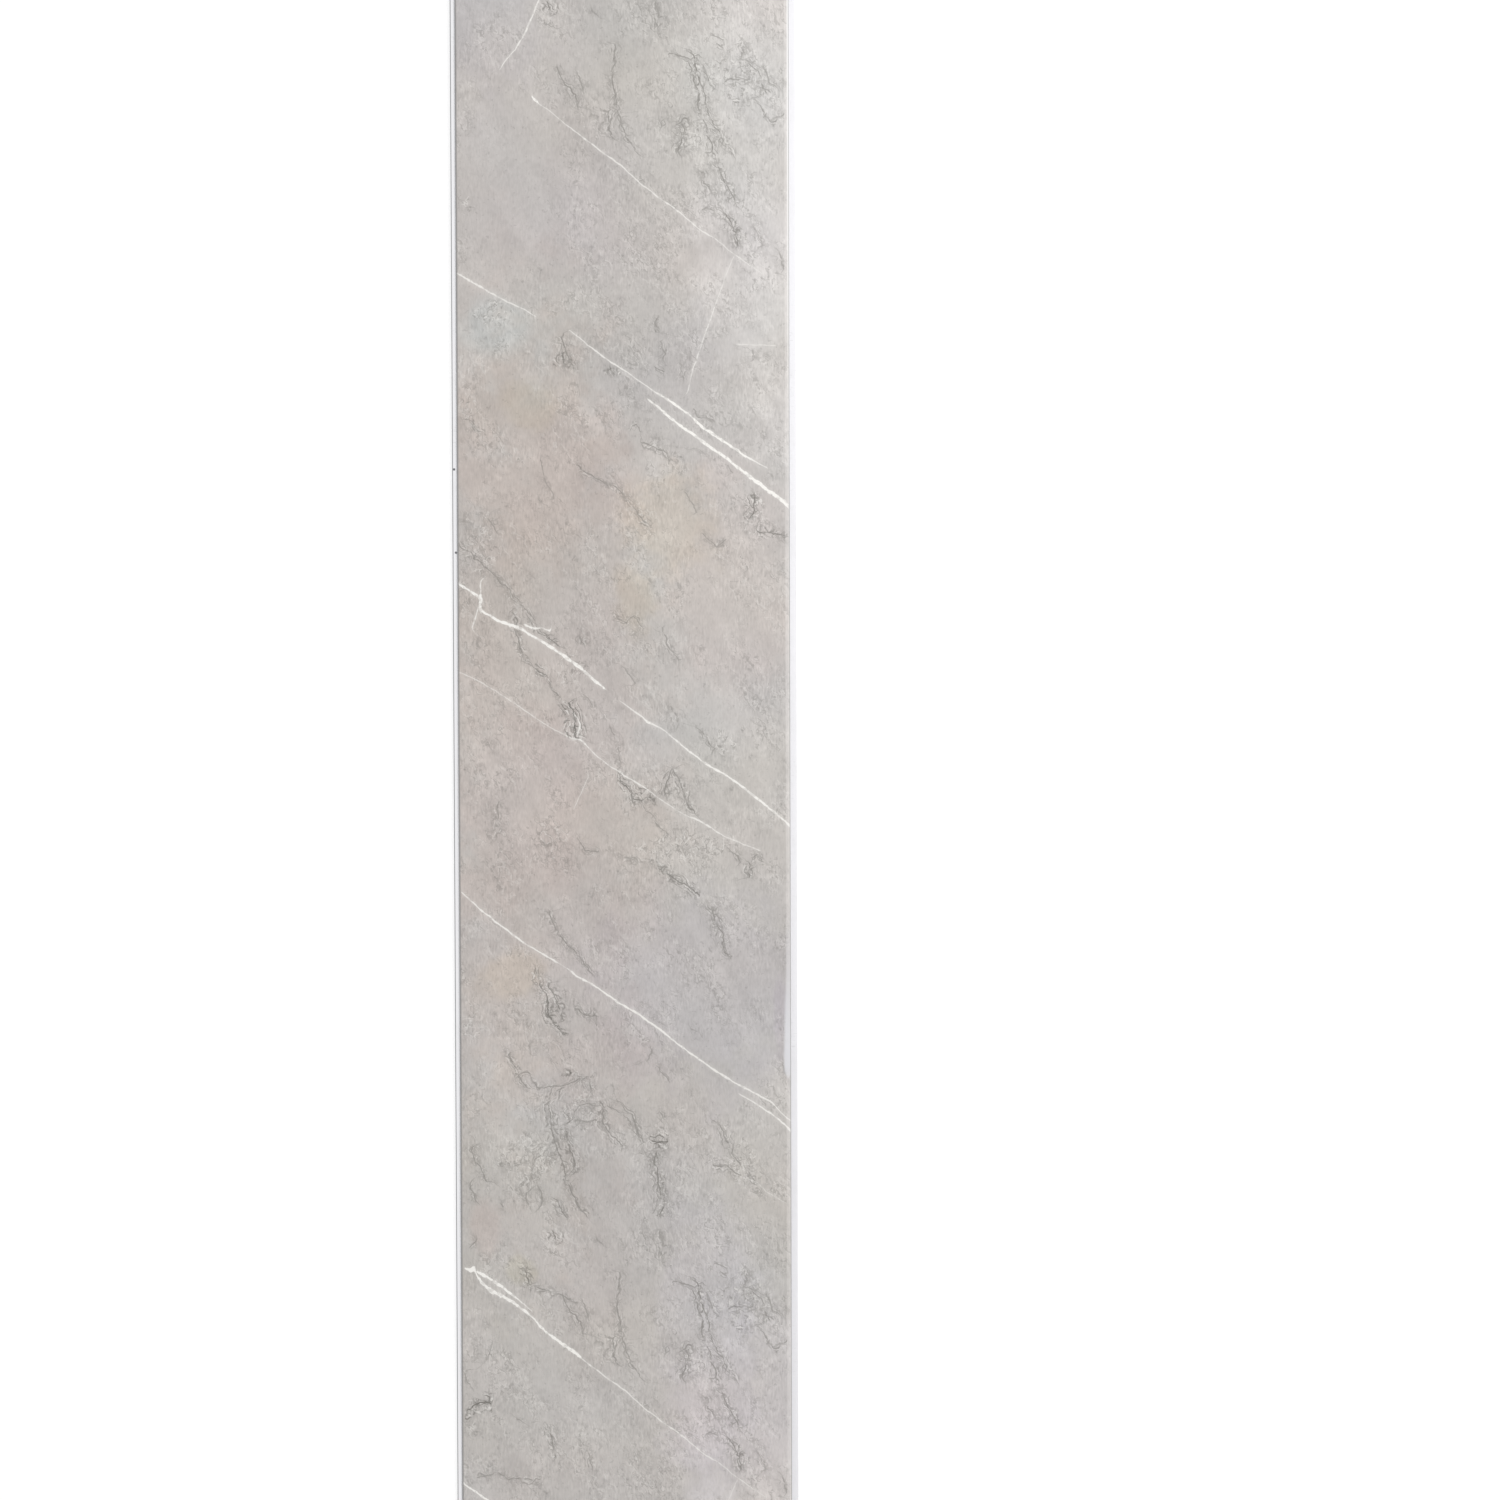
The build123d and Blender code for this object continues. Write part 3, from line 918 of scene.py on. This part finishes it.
def satin_marble_print(finish, groups, line):
    """The grey marble print, satin, wrapped round the long edges of the face."""
    material, g, shader, place = new_material("satin_marble_print")
    at = g.use(groups["coordinates"], Place=place)
    noises = g.use(groups["noise"], Roll=at["Roll"])

    def made_by(name, **values):
        return g.use(groups[name], **values, **shared({**at, **noises}, groups[name]))

    veins, cracks = made_by("veins")["Veins"], made_by("cracks")
    spot = g.join(at["Across"], at["Down"], 0.0)
    ragged = g.swing(noises["Coarse Z"], 1.4)

    def area(middle, half):
        """A soft mask of an oval area with a ragged outline."""
        away = g.vector_math("SUBTRACT", spot, (middle[0] * MM, middle[1] * MM, 0))
        away = g.vector_math("DIVIDE", away, (half[0] * MM, half[1] * MM, 1.0))
        return g.fade(g.vector_math("LENGTH", away) + ragged, 1.15, 0.55)

    trouble = g.most(g.fade(noises["Coarse Y"], 0.38, 0.58), cracks["Tangle"])
    trouble = g.math("SUBTRACT", trouble, area(*CALM), clamp=True)
    hairs = made_by("filaments", Halo=cracks["Halo"], Tangle=cracks["Tangle"], Trouble=trouble)
    clouds = made_by("clouds", Place=place, Trouble=trouble)
    colour = marble_ground(g, finish, clouds, cracks["Halo"])
    for middle, half, factors in TINTS:
        colour = g.blend(area(middle, half), colour, g.vector_math("MULTIPLY", colour, factors))
    pale = g.math("MULTIPLY", g.most(cracks["Pale"], hairs["Pale"]), 0.33, clamp=True)
    dark = g.math("MULTIPLY", g.most(cracks["Dark"], hairs["Dark"]), 0.7, clamp=True)
    for mask, paint in ((pale, finish.vein), (dark, finish.crack), (veins, finish.vein)):
        colour = g.blend(mask, colour, paint)
    relief = g.use(groups["relief"], Place=place, Draw_Lines=0.8, Peel=1.0)
    finish_shader(
        g, shader, edge_changes(g, colour, at, line), relief["Gloss"] + finish.print_gloss, relief["Height"]
    )
    return material


def white_pvc(finish, groups, line):
    """The bare extrusion: cool white PVC with draw lines, smudges and two nicks on the tongue."""
    material, g, shader, place = new_material("white_pvc")
    marks = g.use(groups["marks"], Place=place)
    relief = g.use(groups["relief"], Place=place, Draw_Lines=1.6, Peel=0.6)
    colour = g.blend(marks["Smudge"] * 0.10, finish.pvc, (0.62, 0.61, 0.60))
    colour = g.blend(marks["Scuff"] * 0.25, colour, (0.50, 0.50, 0.50))

    # Painted shade: a dark line round the top of the tongue's nose, and darkening in the corner between the
    # tongue and the face
    ways = g.split(place)
    upper = g.fade(ways["Z"], 4.5 * MM, 5.5 * MM)
    nose = g.fade(ways["X"], line.nose + 0.9 * MM, line.nose + 0.5 * MM) * upper
    colour = g.blend(nose * 0.9, colour, (0.12, 0.12, 0.13))
    # Painted shade in the corner between the tongue and the face
    corner = abs(ways["X"] - (line.face_left + 0.3 * MM))
    painted_corner_shade = g.fade(corner, 1.4 * MM, 0.5 * MM) * upper
    colour = g.blend(painted_corner_shade * 0.8, colour, (0.24, 0.24, 0.24))
    for across, down in TONGUE_NICKS:
        nick = (across * MM, PRINT_TOP - down * MM, line.tongue_top + 0.05 * MM)
        away = g.vector_math("DISTANCE", place, nick)
        colour = g.blend(g.fade(away, 1.3 * MM, 0.5 * MM), colour, (0.10, 0.10, 0.11))
    finish_shader(g, shader, colour, relief["Gloss"] + finish.pvc_gloss, relief["Height"])
    return material


def sawn_pvc_end(finish, groups, line):
    """The sawn ends: matt PVC with the saw's fine slanting marks and a thin line of print on top."""
    material, g, shader, place = new_material("sawn_pvc_end")
    marks = g.use(groups["marks"], Place=place)
    slanted = g.form(
        "ShaderNodeMapping", vector_type="POINT", Vector=place, Rotation=(0.0, math.radians(24), 0.0),
        Scale=(1.0, 1.0, 0.05),
    )
    saw = g.noise(slanted, 0.7 * MM, 3, 0.6)
    colour = g.blend(g.fade(saw, 0.3, 0.7, 0.0, 0.22), finish.pvc, (0.58, 0.58, 0.58))
    colour = g.blend(marks["Smudge"] * 0.15, colour, (0.55, 0.53, 0.50))
    film = g.fade(g.split(place)["Z"], line.top - 0.16 * MM, line.top - 0.08 * MM)
    colour = g.blend(film, colour, finish.ground)
    finish_shader(g, shader, colour, g.fade(saw, 0.3, 0.7, 0.5, 0.68), g.swing(saw, 0.03 * MM))
    return material


def panel_materials(finish, line):
    """The three finishes of the panel by the names of their inputs. They share their node groups."""
    groups = {
        "coordinates": print_coordinates(),
        "noise": print_noise(),
        "veins": marble_veins(vein_edge()),
        "cracks": marble_cracks(),
        "filaments": marble_filaments(),
        "clouds": marble_clouds(),
        "relief": skin_relief(),
        "marks": handling_marks(),
    }
    makers = {"Print": satin_marble_print, "PVC": white_pvc, "Sawn End": sawn_pvc_end}
    return {name: maker(finish, groups, line) for name, maker in makers.items()}


def rounded(corners, steps=5):
    """A closed outline through corners of x, z and radius, each one rounded by an arc of steps."""
    outline = []
    for index, (x, z, radius) in enumerate(corners):
        corner = Vector((x, z))
        if radius == 0:
            outline.append(corner)
            continue
        before = Vector(corners[index - 1][:2])
        after = Vector(corners[(index + 1) % len(corners)][:2])
        back, on = (before - corner).normalized(), (after - corner).normalized()
        half = back.angle(on) / 2
        reach = radius / math.tan(half)
        centre = corner + (back + on).normalized() * radius / math.sin(half)
        start, end = corner + back * reach - centre, corner + on * reach - centre
        sweep = start.angle_signed(end)
        for step in range(steps + 1):
            angle = -sweep * step / steps
            outline.append(centre + Vector((
                start.x * math.cos(angle) - start.y * math.sin(angle),
                start.x * math.sin(angle) + start.y * math.cos(angle),
            )))
    return outline


def box_loop(left, right, bottom, top, radius):
    """The rounded outline of one hollow."""
    radius = min(radius, 0.45 * (right - left), 0.45 * (top - bottom))
    corners = (left, bottom), (right, bottom), (right, top), (left, top)
    return rounded([(*corner, radius) for corner in corners], 3)


def section_lines(s):
    """The lines of the section that follow from the sizes."""
    line = SimpleNamespace(top=PANEL_HIGH.z, tip=PANEL_HIGH.x, nose=PANEL_LOW.x)
    line.face_left = line.nose + s.tongue_reach
    line.face_right = line.tip - s.flange_reach
    line.lip_underside = line.top - s.lip_thickness
    line.groove_bottom = line.face_right - s.groove_depth
    line.tongue_top = line.lip_underside - s.joint_gap
    line.tongue_underside = s.flange_thickness + s.joint_gap
    line.rebate_end = line.face_left + s.flange_reach + s.rebate_gap
    line.cells_left = line.rebate_end + s.edge_wall
    line.cells_right = line.groove_bottom - s.edge_wall
    line.cell_top = line.top - s.front_skin
    core = line.cells_right - line.cells_left
    line.cell_width = (core - s.web * (s.cell_count - 1)) / s.cell_count
    line.cell_pitch = line.cell_width + s.web
    return line


def face_points(s, line):
    """Points across the printed face, from right to left, where the skin sinks a little over each cell."""
    steps = 4
    left_web = line.cells_left - s.web / 2
    return [
        (left_web + line.cell_pitch * index / steps,
         line.top - s.skin_sink * math.sin(math.pi * index / steps) ** 2, 0)
        for index in range(s.cell_count * steps, -1, -1)
    ]


def section_outline(s, line):
    """The outer outline of the section, from the rebate round by the flange, the groove and the face."""

    def half_round(middle, level, radius, way):
        """A half circle that dips under a level, and runs to the right or, where way is -1, to the left."""
        turns = [math.pi * step / 6 for step in range(7)]
        return [(middle - way * radius * math.cos(a), level - radius * math.sin(a), 0) for a in turns]

    lip, tongue, face_left, face_right = line.lip_underside, line.tongue_top, line.face_left, line.face_right
    return rounded([
        (line.rebate_end, 0, s.back_edge_radius),
        (line.tip, 0, s.flange_tip_radius),
        (line.tip, s.flange_thickness, s.flange_tip_radius),
        (line.groove_bottom, s.flange_thickness, s.back_edge_radius),
        (line.groove_bottom, lip, s.back_edge_radius),
        *half_round(face_right - s.bead_inset, lip, s.bead_radius, 1),
        (face_right, lip, 0),
        (face_right, line.top, s.face_edge_radius),
        *face_points(s, line),
        (face_left, line.top, s.face_edge_radius),
        (face_left, tongue, 0),
        *half_round(face_left - s.bead_inset, tongue, s.bead_radius + s.joint_gap, -1),
        (line.nose, tongue, s.nose_radius),
        (line.nose, line.tongue_underside, s.nose_radius),
        (line.rebate_end, line.tongue_underside, s.back_edge_radius),
    ])


def section_mesh(s, line):
    """The section as loops of edges: its outline, and the two hollows beside the row of cells."""
    under = line.tongue_underside
    loops = (
        section_outline(s, line),
        box_loop(
            line.nose + s.tongue_wall, line.face_left, under + s.tongue_wall, line.tongue_top - s.tongue_wall,
            s.cell_radius,
        ),
        box_loop(
            line.face_left + s.edge_wall, line.rebate_end, under + s.back_skin, line.cell_top, s.cell_radius
        ),
    )
    mesh = bpy.data.meshes.new("panel_section")
    places, edges, hollow = [], [], []
    for number, loop in enumerate(loops):
        first = len(places)
        places += [(point.x, 0.0, point.y) for point in loop]
        edges += [(first + i, first + (i + 1) % len(loop)) for i in range(len(loop))]
        hollow += [number > 0] * len(loop)
    mesh.from_pydata(places, edges, [])
    mesh.attributes.new("hollow", "BOOLEAN", "POINT").data.foreach_set("value", hollow)
    return mesh


# Quarter turns about X. The first lays an upright section flat, where curves are swept and filled, and
# stands a flat cell up. The second raises a flat end.
QUARTER_TURN, QUARTER_BACK = Euler((math.radians(90), 0, 0)), Euler((math.radians(-90), 0, 0))


def extrusion_tree():
    """Geometry Nodes that draw the section out to length, with its row of cells and its two ends."""
    g, source = new_group(
        "Hollow Panel Extrusion",
        [("Section", GEOMETRY), "Length", ("Stations", WHOLE), ("Cell Count", WHOLE), "Cell Width",
         "Cell Height", "Cell Radius", "Cell Pitch", ("First Cell", VECTOR), "Lip Bow", "Lip Bow Place",
         "Lip Bow Reach", "Lip Start", "Lip End", "Lip Underside", "Print Edge", ("Print", MATERIAL),
         ("PVC", MATERIAL), ("Sawn End", MATERIAL)],
        [("Panel", GEOMETRY)], "GeometryNodeTree",
    )
    g.tree.is_modifier = True

    def attribute(name):
        return g.form("GeometryNodeInputNamedAttribute", data_type="BOOLEAN", Name=name)

    def store(geometry, name, kind, domain, value):
        return g.form(
            "GeometryNodeStoreNamedAttribute", data_type=kind, domain=domain, Geometry=geometry, Name=name,
            Value=value,
        )

    def turned_by(geometry, turn, move=None):
        return g.form("GeometryNodeTransform", Geometry=geometry, Rotation=turn[:], Translation=move)

    def with_girth(curve):
        length = g.wires(g.add("GeometryNodeSplineParameter"))["Length"]
        return store(curve, "girth", "FLOAT", "POINT", length)

    def joined(*pieces):
        node = g.add("GeometryNodeJoinGeometry")
        for piece in pieces:
            g.feed(node.inputs[0], piece)
        return Wire(g, node.outputs[0])

    def at_end(side):
        return g.join(0.0, source["Length"] * (0.5 * side), 0.0)

    def drawn_out(profile, stations, name):
        path = g.form("GeometryNodeCurvePrimitiveLine", Start=at_end(-1), End=at_end(1))
        path = g.form("GeometryNodeResampleCurve", Curve=path, Count=stations)
        swept = g.form("GeometryNodeCurveToMesh", Curve=path, Profile_Curve=profile)
        return store(swept, name, "BOOLEAN", "FACE", True)

    # The section's own loops, laid flat, and the row of cells beside them
    parts = g.wires(g.named(
        "GeometryNodeSeparateGeometry", domain="POINT", Geometry=source["Section"],
        Selection=attribute("hollow"),
    ))
    outline = g.out("GeometryNodeMeshToCurve", parts["Inverted"])
    side_hollows = g.out("GeometryNodeMeshToCurve", parts["Selection"])
    cell = g.form(
        "GeometryNodeCurvePrimitiveQuadrilateral", Width=source["Cell Width"], Height=source["Cell Height"]
    )
    cell = g.form("GeometryNodeFilletCurve", mode="POLY", Curve=cell, Count=3, Radius=source["Cell Radius"])
    row = g.form(
        "GeometryNodeMeshLine", Count=source["Cell Count"], Start_Location=source["First Cell"],
        Offset=g.join(source["Cell Pitch"], 0.0, 0.0),
    )
    cells = g.form("GeometryNodeInstanceOnPoints", Points=row, Instance=cell, Rotation=QUARTER_TURN)
    cells = g.out("GeometryNodeRealizeInstances", cells)
    outline = with_girth(turned_by(outline, QUARTER_TURN))
    hollows = with_girth(turned_by(joined(side_hollows, cells), QUARTER_TURN))

    # The walls, and the two sawn ends
    skin = drawn_out(outline, source["Stations"], "outer_skin")
    walls = drawn_out(hollows, 2, "inner_wall")
    end = g.form("GeometryNodeFillCurve", mode="TRIANGLES", Curve=joined(outline, hollows))
    end = store(end, "sawn_end", "BOOLEAN", "FACE", True)
    ends = [turned_by(end, QUARTER_BACK, at_end(side)) for side in (-1, 1)]
    panel = g.out("GeometryNodeRealizeInstances", joined(skin, walls, *ends))
    panel = g.form("GeometryNodeMergeByDistance", Geometry=panel, Distance=0.002 * MM)

    # One stretch of the lip is bent down a little
    place = g.split(g.out("GeometryNodeInputPosition"))
    over_groove = g.fade(place["X"], source["Lip Start"], source["Lip End"])
    away = abs(place["Y"] - source["Lip Bow Place"])
    bend = g.fade(away, source["Lip Bow Reach"], 0.0) * over_groove * source["Lip Bow"]
    in_lip = g.math("GREATER_THAN", place["Z"], source["Lip Underside"] - 0.5 * MM)
    panel = g.form(
        "GeometryNodeSetPosition", Geometry=panel, Selection=in_lip, Offset=g.join(0.0, 0.0, bend * -1.0)
    )

    # Smooth walls that stay crisp at the corners
    corner = g.math("GREATER_THAN", g.out("GeometryNodeInputMeshEdgeAngle"), math.radians(30))
    for domain, chosen, smooth in (("FACE", None, True), ("EDGE", corner, False)):
        panel = g.form(
            "GeometryNodeSetShadeSmooth", domain=domain, Geometry=panel, Selection=chosen, Shade_Smooth=smooth
        )

    high = g.math("GREATER_THAN", place["Z"], source["Print Edge"])
    printed = g.out("FunctionNodeBooleanMath", high, attribute("outer_skin"), operation="AND")
    for material, chosen in (("PVC", None), ("Print", printed), ("Sawn End", attribute("sawn_end"))):
        panel = g.form("GeometryNodeSetMaterial", Geometry=panel, Selection=chosen, Material=source[material])
    return g.close(Panel=panel)


def run_tree(mesh, name, tree, values):
    """Runs a Geometry Nodes tree on a mesh and returns its result as a plain mesh."""
    carrier = bpy.data.objects.new(name, mesh)
    bpy.context.scene.collection.objects.link(carrier)
    modifier = carrier.modifiers.new("extrusion", "NODES")
    modifier.node_group = tree
    for item in tree.interface.items_tree:
        if item.name in values:
            modifier[item.identifier] = values[item.name]
    depsgraph = bpy.context.evaluated_depsgraph_get()
    result = bpy.data.meshes.new_from_object(carrier.evaluated_get(depsgraph))
    bpy.data.objects.remove(carrier)
    return result


def values_of(mesh, name, blank, count):
    """An attribute of the mesh as a list."""
    values = [blank] * count
    mesh.attributes[name].data.foreach_get("value", values)
    return values


def lay_out_map(mesh, s, line):
    """The map that the finish is baked through.

    The printed face lies in three strips side by side, a third of the panel each. A narrow band beside
    them holds the rest of the skin, the hollows, which share one place, and the two sawn ends.
    """
    strip, gap = 0.3055, 0.004
    # Where each band starts, and how wide one whole round of its walls is. The face that closes a round
    # reaches a little past that.
    skin_band, hollow_band, end_band = (0.934, 0.034 / 1.02), (0.973, 0.006 / 1.2), (0.984, 0.012)
    girth = values_of(mesh, "girth", 0.0, len(mesh.vertices))
    sawn = values_of(mesh, "sawn_end", False, len(mesh.polygons))
    inner = values_of(mesh, "inner_wall", False, len(mesh.polygons))
    print_slot = list(mesh.materials).index(bpy.data.materials["satin_marble_print"])
    round_skin = max(girth)
    round_cell = 2 * (line.cell_width + line.cell_top - s.back_skin)
    third = PANEL_LENGTH / 3
    margin = line.top - line.lip_underside  # what a strip holds of the two long edges together
    uv = mesh.uv_layers.new(name="OFBake").uv

    def on_print(co, number):
        """A strip of the face, unrolled round both long edges."""
        drop = line.top - co.z
        across = co.x + (drop if co.x > 0 else -drop)
        wide = (across - line.face_left + margin / 2) / (line.face_right - line.face_left + margin)
        return gap + number * (strip + gap) + strip * wide, (co.y - PANEL_LOW.y - number * third) / third

    def in_band(band, round_share, run_share):
        return band[0] + band[1] * round_share, run_share

    def on_end(co, far):
        """One of the two ends, which share a band, each in its own half of it."""
        share = (co.x - PANEL_LOW.x) / (PANEL_HIGH.x - PANEL_LOW.x)
        return in_band(end_band, (co.z - PANEL_LOW.z) / PANEL_THICKNESS, 0.5 * far + 0.48 * share + 0.01)

    for polygon in mesh.polygons:
        corners = [mesh.loops[i].vertex_index for i in polygon.loop_indices]
        middle = polygon.center
        number = min(2, int((middle.y - PANEL_LOW.y) / third))
        whole = round_cell if inner[polygon.index] else round_skin
        round_at = [girth[v] for v in corners]
        if max(round_at) - min(round_at) > whole / 2:
            round_at = [r + (whole if r < whole / 2 else 0) for r in round_at]
        for loop, vertex, turn in zip(polygon.loop_indices, corners, round_at):
            co = mesh.vertices[vertex].co
            if sawn[polygon.index]:
                uv[loop].vector = on_end(co, middle.y > 0)
            elif polygon.material_index == print_slot:
                uv[loop].vector = on_print(co, number)
            else:
                band = hollow_band if inner[polygon.index] else skin_band
                uv[loop].vector = in_band(band, turn / whole, (co.y - PANEL_LOW.y) / PANEL_LENGTH)
    for name in ("girth", "sawn_end", "inner_wall", "outer_skin", "hollow"):
        if name in mesh.attributes:
            mesh.attributes.remove(mesh.attributes[name])


def close_mesh(mesh):
    """Turns all faces outwards, and makes sure that the panel is one closed surface."""
    work = bmesh.new()
    work.from_mesh(mesh)
    bmesh.ops.recalc_face_normals(work, faces=work.faces)
    open_edges = sum(not edge.is_manifold for edge in work.edges)
    volume = work.calc_volume(signed=True)
    work.to_mesh(mesh)
    work.free()
    if open_edges or volume <= 0:
        raise RuntimeError(f"the panel has {open_edges} open edges and a volume of {volume}")


class PANEL_OT_make_panel(bpy.types.Operator):
    """Make the extruded panel with its print"""

    bl_idname = "wall_panel.make_panel"
    bl_label = "Make Panel"

    def execute(self, context):
        sizes = context.scene.panel_sizes
        line = section_lines(sizes)
        first_x, first_z = line.cells_left + line.cell_width / 2, (sizes.back_skin + line.cell_top) / 2
        mesh = run_tree(section_mesh(sizes, line), "panel_carrier", extrusion_tree(), {
            "Length": PANEL_LENGTH,
            "Stations": sizes.stations + 1,
            "Cell Count": sizes.cell_count,
            "Cell Width": line.cell_width,
            "Cell Height": line.cell_top - sizes.back_skin,
            "Cell Radius": sizes.cell_radius,
            "Cell Pitch": line.cell_pitch,
            "First Cell": (first_x, 0.0, first_z),
            "Lip Bow": sizes.lip_bow,
            "Lip Bow Place": sizes.lip_bow_place,
            "Lip Bow Reach": sizes.lip_bow_reach,
            "Lip Start": line.groove_bottom,
            "Lip End": line.face_right,
            "Lip Underside": line.lip_underside,
            "Print Edge": line.lip_underside + 0.05 * MM,
            **panel_materials(context.scene.panel_finish, line),
        })
        close_mesh(mesh)
        lay_out_map(mesh, sizes, line)
        mesh.name = "printed_panel"
        panel = bpy.data.objects.new("printed_panel", mesh)
        context.scene.collection.objects.link(panel)
        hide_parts("panel")
        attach(panel, "root")
        return {"FINISHED"}


def seen_directly(g):
    """One where the camera, gloss or glass looks, and zero for all other light."""
    ray = g.wires(g.add("ShaderNodeLightPath"))
    return g.most(ray["Is Camera Ray"], ray["Is Glossy Ray"], ray["Is Transmission Ray"])


def studio_floor(size):
    """A large floor just under the panel. It looks white, takes the shadow and throws back plain light."""
    half, level = size / 2, PANEL_LOW.z - 0.05 * MM
    mesh = bpy.data.meshes.new("studio_floor")
    corners = [(x * half, y * half, level) for x, y in ((-1, -1), (1, -1), (1, 1), (-1, 1))]
    mesh.from_pydata(corners, [], [(0, 1, 2, 3)])
    material, g, shader, _ = new_material("studio_floor")
    seen = seen_directly(g)
    plain_shade, seen_shade, glow = 0.8, 0.5, 0.58
    shade = g.scaled(seen, seen_shade - plain_shade, plain_shade)
    g.feed(shader.inputs["Base Color"], g.join(shade, shade, shade))
    g.feed(shader.inputs["Roughness"], 0.9)
    g.feed(shader.inputs["Specular IOR Level"], 0.0)
    g.feed(shader.inputs["Emission Color"], (1.0, 1.0, 1.0, 1.0))
    g.feed(shader.inputs["Emission Strength"], seen * glow)
    material.cycles.emission_sampling = "NONE"
    mesh.materials.append(material)
    floor = bpy.data.objects.new("studio_floor", mesh)
    bpy.context.scene.collection.objects.link(floor)


def studio_sky(level):
    """Even light from all round, which looks white."""
    world = bpy.data.worlds.new("studio_sky")
    world.use_nodes = True
    g = Graph(world.node_tree)
    background = world.node_tree.nodes["Background"]
    g.feed(background.inputs["Color"], (1.0, 1.0, 1.0, 1.0))
    g.feed(background.inputs["Strength"], g.scaled(seen_directly(g), 1.0 - level, level))
    bpy.context.scene.world = world


def soft_lamp(name, place, aim, size, power):
    """A square soft lamp, turned towards a point of the panel."""
    light = bpy.data.lights.new(name, "AREA")
    light.shape = "SQUARE"
    light.size = size
    light.energy = power
    lamp = bpy.data.objects.new(name, light)
    lamp.location = place
    lamp.rotation_euler = (Vector(aim) - Vector(place)).to_track_quat("-Z", "Y").to_euler()
    lamp.visible_camera = False
    bpy.context.scene.collection.objects.link(lamp)


def overhead_camera(settings):
    """The camera that looks down on the middle stretch of the panel."""
    data = bpy.data.cameras.new("overhead_camera")
    data.lens = settings.lens
    data.clip_start = 0.01
    camera = bpy.data.objects.new("overhead_camera", data)
    camera.location = settings.camera_place
    camera.rotation_euler = (settings.camera_tilt, 0.0, settings.camera_roll)
    bpy.context.scene.collection.objects.link(camera)
    bpy.context.scene.camera = camera


class PANEL_OT_make_studio(bpy.types.Operator):
    """Make the floor, the light and the camera"""

    bl_idname = "wall_panel.make_studio"
    bl_label = "Make Studio"

    def execute(self, context):
        s = context.scene.panel_studio
        studio_floor(s.floor_size)
        studio_sky(s.sky_level)
        soft_lamp("high_lamp", s.high_place, (0.0, 0.0, 0.0), s.high_size, s.high_power)
        soft_lamp("near_lamp", s.near_place, s.near_aim, s.near_size, s.near_power)
        overhead_camera(s)
        context.scene.view_settings.view_transform = "Standard"
        return {"FINISHED"}


class PANEL_PT_sidebar(bpy.types.Panel):
    """Sidebar panel that lists the steps and their settings"""

    bl_idname = "PANEL_PT_sidebar"
    bl_label = "Wall Panel"
    bl_space_type = "VIEW_3D"
    bl_region_type = "UI"
    bl_category = "Wall Panel"

    def draw(self, context):
        scene = context.scene
        for group, step in (
            (scene.panel_sizes, None),
            (scene.panel_finish, "wall_panel.make_panel"),
            (scene.panel_studio, "wall_panel.make_studio"),
        ):
            column = self.layout.column()
            for name in group.__annotations__:
                column.prop(group, name)
            if step:
                column.operator(step)


CLASSES = (
    PanelSizes, PanelFinish, StudioSettings, PANEL_OT_make_panel, PANEL_OT_make_studio, PANEL_PT_sidebar
)
SETTINGS = {"panel_sizes": PanelSizes, "panel_finish": PanelFinish, "panel_studio": StudioSettings}


def register():
    for item in CLASSES:
        bpy.utils.register_class(item)
    for name, group in SETTINGS.items():
        setattr(bpy.types.Scene, name, PointerProperty(type=group))


def unregister():
    for name in SETTINGS:
        delattr(bpy.types.Scene, name)
    for item in reversed(CLASSES):
        bpy.utils.unregister_class(item)


def main():
    register()
    bpy.ops.wall_panel.make_panel()
    bpy.ops.wall_panel.make_studio()
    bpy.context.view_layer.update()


if __name__ == "__main__":
    main()
